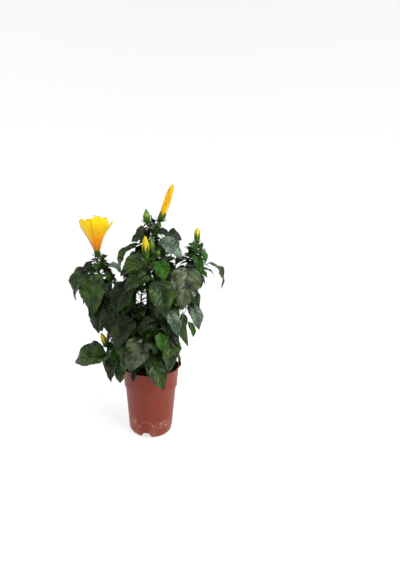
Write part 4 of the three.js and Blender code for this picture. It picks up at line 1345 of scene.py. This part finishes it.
def tube_blank(sides, steps):
    if (sides, steps) in tube_blanks:
        return tube_blanks[sides, steps]
    bm = bmesh.new()
    bmesh.ops.create_cone(bm, cap_ends=True, segments=sides, radius1=1, radius2=1, depth=1)
    upright = [edge for edge in bm.edges if abs(edge.verts[0].co.z - edge.verts[1].co.z) > 0.5]
    bmesh.ops.subdivide_edges(bm, edges=upright, cuts=steps - 1, use_grid_fill=True)
    bmesh.ops.translate(bm, vec=(0, 0, 0.5), verts=bm.verts)
    stripe = bm.loops.layers.uv.new("stripe")
    for face in bm.faces:
        for loop in face.loops:
            loop[stripe].uv = (0.5, loop.vert.co.z)
    blank = bpy.data.meshes.new("tube_blank")
    bm.to_mesh(blank)
    bm.free()
    tube_blanks[sides, steps] = blank
    return blank


def add_tube(bm, curve, span, radius_at, reference, sides, steps):
    """Bends a tube along part of a curve. span gives where it starts and ends."""
    bm.verts.ensure_lookup_table()
    first = len(bm.verts)
    bm.from_mesh(tube_blank(sides, steps))
    bm.verts.ensure_lookup_table()
    frames = []
    for step in range(steps + 1):
        share = mix(*span, step / steps)
        way = way_of(curve, share)
        across = (reference - way * reference.dot(way)).normalized()
        frames.append((on_curve(curve, share), across, way.cross(across), radius_at(share)))
    for vert in bm.verts[first:]:
        centre, across, third, radius = frames[round(vert.co.z * steps)]
        vert.co = centre + (across * vert.co.x + third * vert.co.y) * radius


def straight(start, end):
    return start, start.lerp(end, 1 / 3), start.lerp(end, 2 / 3), end


def roughen(bm, depth, grain, stretch):
    """Pushes a surface in and out, so that bark has ridges of its own."""
    bm.normal_update()
    moves = []
    for vert in bm.verts:
        place = Vector((vert.co.x * grain, vert.co.y * grain, vert.co.z * grain * stretch))
        moves.append(vert.normal * (depth * noise.fractal(place, 0.9, 2.0, 4)))
    for vert, move in zip(bm.verts, moves):
        vert.co += move


print("faces of a stalk:", len(tube_blank(6, 6).polygons))

# %% [markdown]
# Bark is a dull brown with upright ridges and pale spots. Noise stretched along the limb
# gives the ridges, which are also pushed out of the mesh, so that the outline shows them.

# %% Bark
bark = finish("bark", 0.8, Specular_IOR_Level=0.3)
ridges = speckle(bark, 240, 5, (1, 1, 0.25))
spots = speckle(bark, 620, 2)
bark_colour = shades(ridges, [(0.3, (62, 52, 40)), (0.5, (92, 80, 62)), (0.7, (122, 110, 88))])
bark_colour = blend_colours(between(spots, 0.62, 0.7, 0, 0.5), bark_colour, (150, 140, 118))
wear(bark, bark_colour, None, reckon("ADD", ridges, spots), 0.7)

trunk_shape = empty_shape("stripe")
add_tube(trunk_shape, TRUNK_CURVE, (0, 1), lambda s: trunk_radius(s) - 0.2, Vector((1, 0, 0)), 48, 40)
roughen(trunk_shape, 0.6, 0.35, 0.25)
make_piece(trunk_shape, "trunk_bark", [bark], ["trunk"])

bough_shape = empty_shape("stripe")
for shoot in SHOOTS:
    side = heading(shoot.azimuth + 90)
    add_tube(bough_shape, CURVES[shoot.name], (0, shoot.enters), shoot_radius, side, 18, 24)
roughen(bough_shape, 0.3, 0.6, 0.3)
make_piece(bough_shape, "boughs_bark", [bark], ["bough_" + shoot.name for shoot in SHOOTS])

# %% [markdown]
# The young stems are green and turn woody towards their foot. Their map runs from foot to
# tip, so it carries that change, and a little noise keeps its edge from showing as a ring.

# %% Green stem finish
green_stem = finish("green_stem", 0.45, Specular_IOR_Level=0.45)
along_stem = split_axes(green_stem, "stripe")["Y"]
stem_noise = speckle(green_stem, 150, 4, (1, 1, 0.3))
stem_age = reckon("ADD", along_stem, reckon("MULTIPLY", reckon("SUBTRACT", stem_noise, 0.5), 0.25))
stem_colour = shades(stem_age, [(0.15, (74, 64, 46)), (0.5, (60, 66, 36)), (0.85, (70, 98, 36))])
wear(green_stem, stem_colour, None, stem_noise, 0.3)
print("nodes in the stem's finish:", len(green_stem.node_tree.nodes))

# %% [markdown]
# A slim stalk runs to every leaf. It starts inside the stem, bows upwards, and goes into
# the blade's midrib. Small leaves get stalks with fewer sides, because there are hundreds.

# %% Stems and leaf stalks
def add_leaf_stalk(bm, root, leaf):
    end = blade_point(leaf, 0.03, 0) - leaf.normal * 0.5
    bow = (leaf.base - root).length * 0.12
    middle = root.lerp(leaf.base, 0.55) + UP * bow
    curve = (root, root.lerp(middle, 0.67), end.lerp(middle, 0.67), end)
    thick = stalk_radius(leaf) * (0.9 if leaf.length > 30 else 0.7)
    sides, steps = (4, 3) if leaf.length < SMALL_LEAF else (6, 6)
    reference = leaf.side + leaf.chord * 0.1
    add_tube(bm, curve, (0, 1), lambda s: mix(thick, thick * 0.75, s), reference, sides, steps)


stem_shape = empty_shape("stripe")
for shoot in SHOOTS:
    side = heading(shoot.azimuth + 90)
    add_tube(stem_shape, CURVES[shoot.name], (shoot.enters + 0.001, 1), shoot_radius, side, 10, 28)
for bloom in BLOOMS:
    if any(bloom.aside):
        curve = straight(*side_stem_ends(bloom))
        add_tube(stem_shape, curve, (0, 1), lambda s: BLOOM_STALK, Vector((0, 1, 0)), 8, 4)
for entry in grown:
    add_leaf_stalk(stem_shape, entry.root, entry.leaf)
make_piece(stem_shape, "green_stems", [green_stem])

# %% [markdown]
# ## Buds
#
# A bud is a furled roll of five petals in a green cup of five sepals, over a ring of
# narrow bracts. Each part is made upright at the origin, given its own map, and only then
# moved to its shoot's tip and added to one mesh for all buds.

# %% Helpers for buds
SEPALS = 5
BLOOM_KINDS = ["open", "green", "rolled", "tipped"]
petal_shape = empty_shape("petal")
cup_shape = empty_shape("leaf")


def move_into(target, source, place):
    """Places a finished small mesh and adds it to a larger one."""
    for vert in source.verts:
        vert.co = place(vert.co)
    part = bpy.data.meshes.new("part")
    source.to_mesh(part)
    source.free()
    target.from_mesh(part)
    bpy.data.meshes.remove(part)


def paint_height(bm, layer, low, high):
    stripe = bm.loops.layers.uv.new(layer)
    for face in bm.faces:
        for loop in face.loops:
            point = loop.vert.co
            loop[stripe].uv = (math.atan2(point.y, point.x) / math.tau + 0.5, (point.z - low) / (high - low))


print("kinds of bloom:", BLOOM_KINDS)

# %% [markdown]
# The furled petals could be five wound sheets, but only their outer edges show. So the roll
# is one turned body, and each ring is pushed out and in five times round, a little further
# on from ring to ring, which makes the edges run up in a slow spiral.

# %% Furled petals
def petal_roll(bloom):
    """The furled petals. Their edges run round the roll in a slow spiral."""
    rolled = bloom.kind == "rolled"
    shares = [0.03, 0.07, 0.12, 0.18] + [0.24 + 0.06 * step for step in range(12)] + [0.94, 0.975]
    bm = spun([(0, bud_outline(bloom, [0.03])[0][1])] + bud_outline(bloom, shares), 40)
    low = min(vert.co.z for vert in bm.verts)
    high = max(vert.co.z for vert in bm.verts)
    for vert in bm.verts:
        share = (vert.co.z - low) / (high - low)
        turn = math.atan2(vert.co.y, vert.co.x)
        fold = ((SEPALS * (turn - 2.4 * share)) / math.tau) % 1
        size = 1 + (0.22 if rolled else 0.1) * (fold**2 - 0.45)
        if rolled:
            old = math.hypot(vert.co.x, vert.co.y)
            wide = bloom.radius * mix(0.78, 0.97, min(1, share * 1.7)) * max(0, 1 - share**4) ** 0.55
            size *= wide / old if old > 0.1 else 1
            size += 0.05 * math.sin(share * 46 + SEPALS * turn)
        vert.co.x *= size
        vert.co.y *= size
    paint_height(bm, "petal", low, high)
    return bm


print("folds round a roll:", SEPALS)

# %% [markdown]
# The sepals are joined low down and free above. They start as one turned cup, and its upper
# rings are pulled up at five places, which gives five points without a cut.

# %% Sepals
SEPAL_REACH = {"rolled": 0.1, "open": 0.1, "tipped": 0.42, "green": 1.0}
OPEN_CUP_RADIUS = 6.8


def sepal_cup(bloom):
    cup_top = bloom.stalk + bloom.cup
    reach = SEPAL_REACH[bloom.kind] * bloom.body
    wide = OPEN_CUP_RADIUS if bloom.kind == "open" else bloom.radius
    profile = [(0, -2.5), (1.3, -2.5), (1.3, bloom.stalk)]
    for rise in (0, 0.08, 0.2, 0.4, 0.6, 0.8, 1):
        swell = 0.35 + 0.65 * math.sin(rise * 1.6) ** 0.7
        profile.append((wide * swell * (1 if rise < 0.7 else 0.985), mix(bloom.stalk, cup_top, rise)))
    bm = spun(profile, 40)
    for vert in bm.verts:
        share = (vert.co.z - bloom.stalk) / bloom.cup
        if share <= 0:
            continue
        turn = math.atan2(vert.co.y, vert.co.x)
        tooth = abs(math.cos(turn * SEPALS / 2)) ** 1.6
        ridge = 1 + 0.05 * math.cos(turn * SEPALS * 2)
        vert.co.z += (reach + 0.25 * bloom.cup) * tooth * share**2 - 0.2 * bloom.cup * share**2
        vert.co.x *= ridge
        vert.co.y *= ridge
    return bm


print("sepals reach over the petals:", SEPAL_REACH)

# %% [markdown]
# A tipped bud's long sepals lie against the petals, so above the cup their points follow
# the roll's own outline. A green bud is closed: its sepals meet at the tip, so there the
# roll itself gets the green finish.

# %% Bud parts
BRACTS = 8
BRACT_LIFT = 38


def hug(bm, bloom):
    """Draws the parts of a cup above its rim in to the roll's outline."""
    cup_top = bloom.stalk + bloom.cup
    outline = bud_outline(bloom, [s / 20 for s in range(1, 20)])
    for vert in bm.verts:
        if vert.co.z < cup_top - 1:
            continue
        radius = math.hypot(vert.co.x, vert.co.y)
        near = min(outline, key=lambda pair: abs(pair[1] - vert.co.z))[0] + 0.25
        if radius > 0.1:
            vert.co.x *= near / radius
            vert.co.y *= near / radius


def add_bracts(bloom, place, length):
    """Narrow bracts that spread from the foot of the cup."""
    bm = empty_shape("leaf")
    ends = []
    for index in range(BRACTS):
        out = heading(360 / BRACTS * index + bloom.points)
        angle = math.radians(BRACT_LIFT + 9 * math.sin(index * 2.1))
        chord = out * math.cos(angle) + UP * math.sin(angle)
        normal = -out * math.sin(angle) + UP * math.cos(angle)
        foot = Vector((0, 0, bloom.stalk + 0.6)) + out * 1.2
        bract = Leaf(foot, chord, normal, chord.cross(normal), length, 3.2, -0.12)
        add_blade(bm, bract, 0, Mood(index, 0.1, -0.3, 0), small_blank, ends)
    bmesh.ops.remove_doubles(bm, verts=ends, dist=1e-3)
    for face in bm.faces:
        face.material_index = 0
    move_into(cup_shape, bm, place)


for bloom in BLOOMS:
    place = bloom_place(bloom)
    if bloom.kind != "open":
        roll = petal_roll(bloom)
        for face in roll.faces:
            face.material_index = BLOOM_KINDS.index(bloom.kind)
        move_into(petal_shape, roll, place)
    cup = sepal_cup(bloom)
    if bloom.kind in ("tipped", "green"):
        hug(cup, bloom)
    paint_height(cup, "leaf", 0, bloom.stalk + bloom.cup + bloom.body)
    move_into(cup_shape, cup, place)
    add_bracts(bloom, place, 15 if bloom.kind in ("open", "rolled") else 11)
print("buds:", sum(bloom.kind != "open" for bloom in BLOOMS))

# %% [markdown]
# ## The open flower
#
# Five petals overlap like a fan round a long column. Each is one grid, bent to the
# funnel's outline. One edge lies outside its neighbour and the other inside, as on every
# hibiscus, and the free edge is ruffled. The right petal has begun to fold back.

# %% Petals
PETAL_HALF_TURN = 47
PETAL_ROWS = 26
PETAL_COLUMNS = 18
PETAL_THICKNESS = 0.5
flower = next(bloom for bloom in BLOOMS if bloom.kind == "open")
flower_place = bloom_place(flower)
flower_foot = flower.stalk + flower.cup - 3
FINE_FUNNEL = [(0.12, 0.0), (0.19, 0.04), (0.32, 0.19), (0.485, 0.37), (0.61, 0.47), (0.74, 0.56)]
FINE_FUNNEL += [(0.85, 0.64), (0.94, 0.72), (1.0, 0.81), (1.02, 0.9), (1.0, 1.1)]


def funnel_radius(height):
    for (r0, h0), (r1, h1) in zip(FINE_FUNNEL, FINE_FUNNEL[1:]):
        if height <= h1:
            return mix(r0, r1, (height - h0) / (h1 - h0)) * flower.radius
    return FINE_FUNNEL[-1][0] * flower.radius


def petal_point(index, across, along, azimuth, top, flare):
    edge = top - 0.1 * across * across - 0.03 * math.cos(across * 7 + index)
    height = along * edge
    lay = 0.9 * across * min(1, along * 3)
    radius = funnel_radius(height) * 0.95 + lay + flare * max(0, along - 0.55) ** 2
    ruffle = 1.8 * along**4 * math.sin(across * 8 + index * 1.7)
    ruffle += 0.9 * along * math.sin(across * 4 + index * 2.3)
    groove = -0.5 * along * (1 - along) * 4 * math.exp(-((across * 5) ** 2))
    turn = azimuth + across * PETAL_HALF_TURN * mix(0.95, 1, along)
    out = Matrix.Rotation(math.radians(turn), 3, "Z") @ Vector((radius + ruffle + groove, 0, 0))
    return out + UP * (flower_foot + height * flower.body - flare * 0.55 * max(0, along - 0.6) ** 2)


# Each petal's azimuth, the share of the flower's height that it reaches, and how it folds back
PETALS = [
    (-18, 0.97, 0),
    (54, 0.95, 0),
    (126, 0.93, 3),
    (-162, 0.96, 0),
    (-88, 0.84, 22),
]
for index, (azimuth, top, flare) in enumerate(PETALS):
    bm = empty_shape("petal")
    grid = bmesh.ops.create_grid(bm, x_segments=PETAL_COLUMNS, y_segments=PETAL_ROWS, size=1, calc_uvs=True)
    for vert in grid["verts"]:
        vert.co = petal_point(index, vert.co.x, (vert.co.y + 1) / 2, azimuth, top, flare)
    bmesh.ops.solidify(bm, geom=bm.faces[:], thickness=PETAL_THICKNESS)
    move_into(petal_shape, bm, flower_place)
print("petals:", len(PETALS))

# %% [markdown]
# The column stands in the middle of the flower. Its upper half is set with short threads
# that end in pollen sacs, and five pads crown it.

# %% Column
THREADS = 42
PADS = 5
column_shape = empty_shape("stripe")
column_height = flower_foot + 3 + flower.body
column = straight(Vector((0, 0, flower_foot)), Vector((0.8, 0, column_height - 2)))
add_tube(column_shape, column, (0, 1), lambda s: mix(1.5, 0.8, s), Vector((1, 0, 0)), 10, 12)


def add_thread(start, end, thick, sides, reference, detail, knob_radius):
    """A thread with a small ball on its end."""
    add_tube(column_shape, straight(start, end), (0, 1), lambda s: thick, reference, sides, 1)
    knob = bmesh.ops.create_icosphere(column_shape, subdivisions=detail, radius=knob_radius)["verts"]
    bmesh.ops.translate(column_shape, vec=end, verts=knob)


for thread in range(THREADS):
    out = heading(thread * GOLDEN_ANGLE)
    root = on_curve(column, mix(0.5, 0.93, thread / (THREADS - 1)))
    add_thread(root, root + out * 4.2 + UP * 1.6, 0.22, 4, UP + out * 0.1, 1, 0.75)
for pad in range(PADS):
    out = heading(pad * 360 / PADS)
    add_thread(column[3], column[3] + out * 1.8 + UP * 1.2, 0.3, 5, UP.cross(out), 2, 0.85)
for vert in column_shape.verts:
    vert.co = flower_place(vert.co)
print("threads on the column:", THREADS)

# %% [markdown]
# Petals are thin and soft, so light spreads inside them. Their yellow deepens to orange
# at the base, fine ribs run up from there, and the finish is nearly matt, like velvet.

# %% Petal finish
petal = finish("petal", 0.5, Specular_IOR_Level=0.2, Sheen_Weight=0.1, Subsurface_Weight=0.15)
petal_shader = petal.node_tree.nodes["Principled BSDF"]
petal_shader.inputs["Subsurface Radius"].default_value = (0.004, 0.003, 0.0005)
on_petal = split_axes(petal, "petal")
cloud = speckle(petal, 70, 3)
height = reckon("ADD", on_petal["Y"], reckon("MULTIPLY", reckon("SUBTRACT", cloud, 0.5), 0.3))
YELLOWS = [(0.05, (200, 108, 4)), (0.3, (238, 150, 3)), (0.55, (248, 188, 2)), (0.85, (246, 210, 3))]
petal_colour = shades(height, YELLOWS)
ribs = reckon("PINGPONG", reckon("MULTIPLY", on_petal["X"], 14), 0.5)
rib_share = reckon("MULTIPLY", between(ribs, 0.12, 0.0), 0.22)
petal_colour = blend_colours(rib_share, petal_colour, (214, 128, 6))
wear(petal, petal_colour, None, reckon("ADD", ribs, cloud), 0.25)
print("yellows from base to edge:", len(YELLOWS))

# %% [markdown]
# A furled petal shows fine creases along it, so noise stretched along the bud deals out
# three close yellows. Small buds are a paler lemon. The green of cups and closed buds is
# the leaves' own finish in a lighter colour, and pollen is a dull, grainy gold.

# %% Bud and pollen finishes
def roll_finish(name, deep, middle, pale):
    """Furled petals, with fine creases along them."""
    material = finish(name, 0.5, Specular_IOR_Level=0.2)
    creases = speckle(material, 240, 2, (1, 1, 0.16))
    colour = shades(creases, [(0.3, deep), (0.5, middle), (0.7, pale)])
    return wear(material, colour, None, creases, 0.25)


bud_gold = roll_finish("bud_gold", (206, 140, 3), (228, 172, 6), (240, 194, 16))
bud_lemon = roll_finish("bud_lemon", (176, 146, 10), (208, 184, 22), (220, 204, 50))
bud_green = leaf_finish("bud_green", (92, 124, 34), (128, 154, 56), (150, 170, 70), 0.42, 0.1, 0.2)
cup_green = leaf_finish("cup_green", (44, 78, 18), (70, 106, 30), (112, 140, 56), 0.42, 0.1, 0.25)
pollen = finish("pollen", 0.7)
pollen_colour = shades(speckle(pollen, 500), [(0.35, (222, 150, 20)), (0.65, (246, 204, 60))])
wear(pollen, pollen_colour, None, speckle(pollen, 900), 0.4)

# The petal finishes stand in the order of BLOOM_KINDS
make_piece(petal_shape, "petals", [petal, bud_green, bud_gold, bud_lemon], ["foliage_left"])
make_piece(cup_shape, "cups_and_bracts", [cup_green])
make_piece(column_shape, "flower_column", [pollen])

# %% [markdown]
# ## Finish
#
# The leaves were grown inside the solids' own box, which is printed here. The dressed
# plant has to stay close to the solids' own box.

# %% Sizes and finish
print("solids mm:", [[round(c / MM) for c in corner] for corner in solid_box])
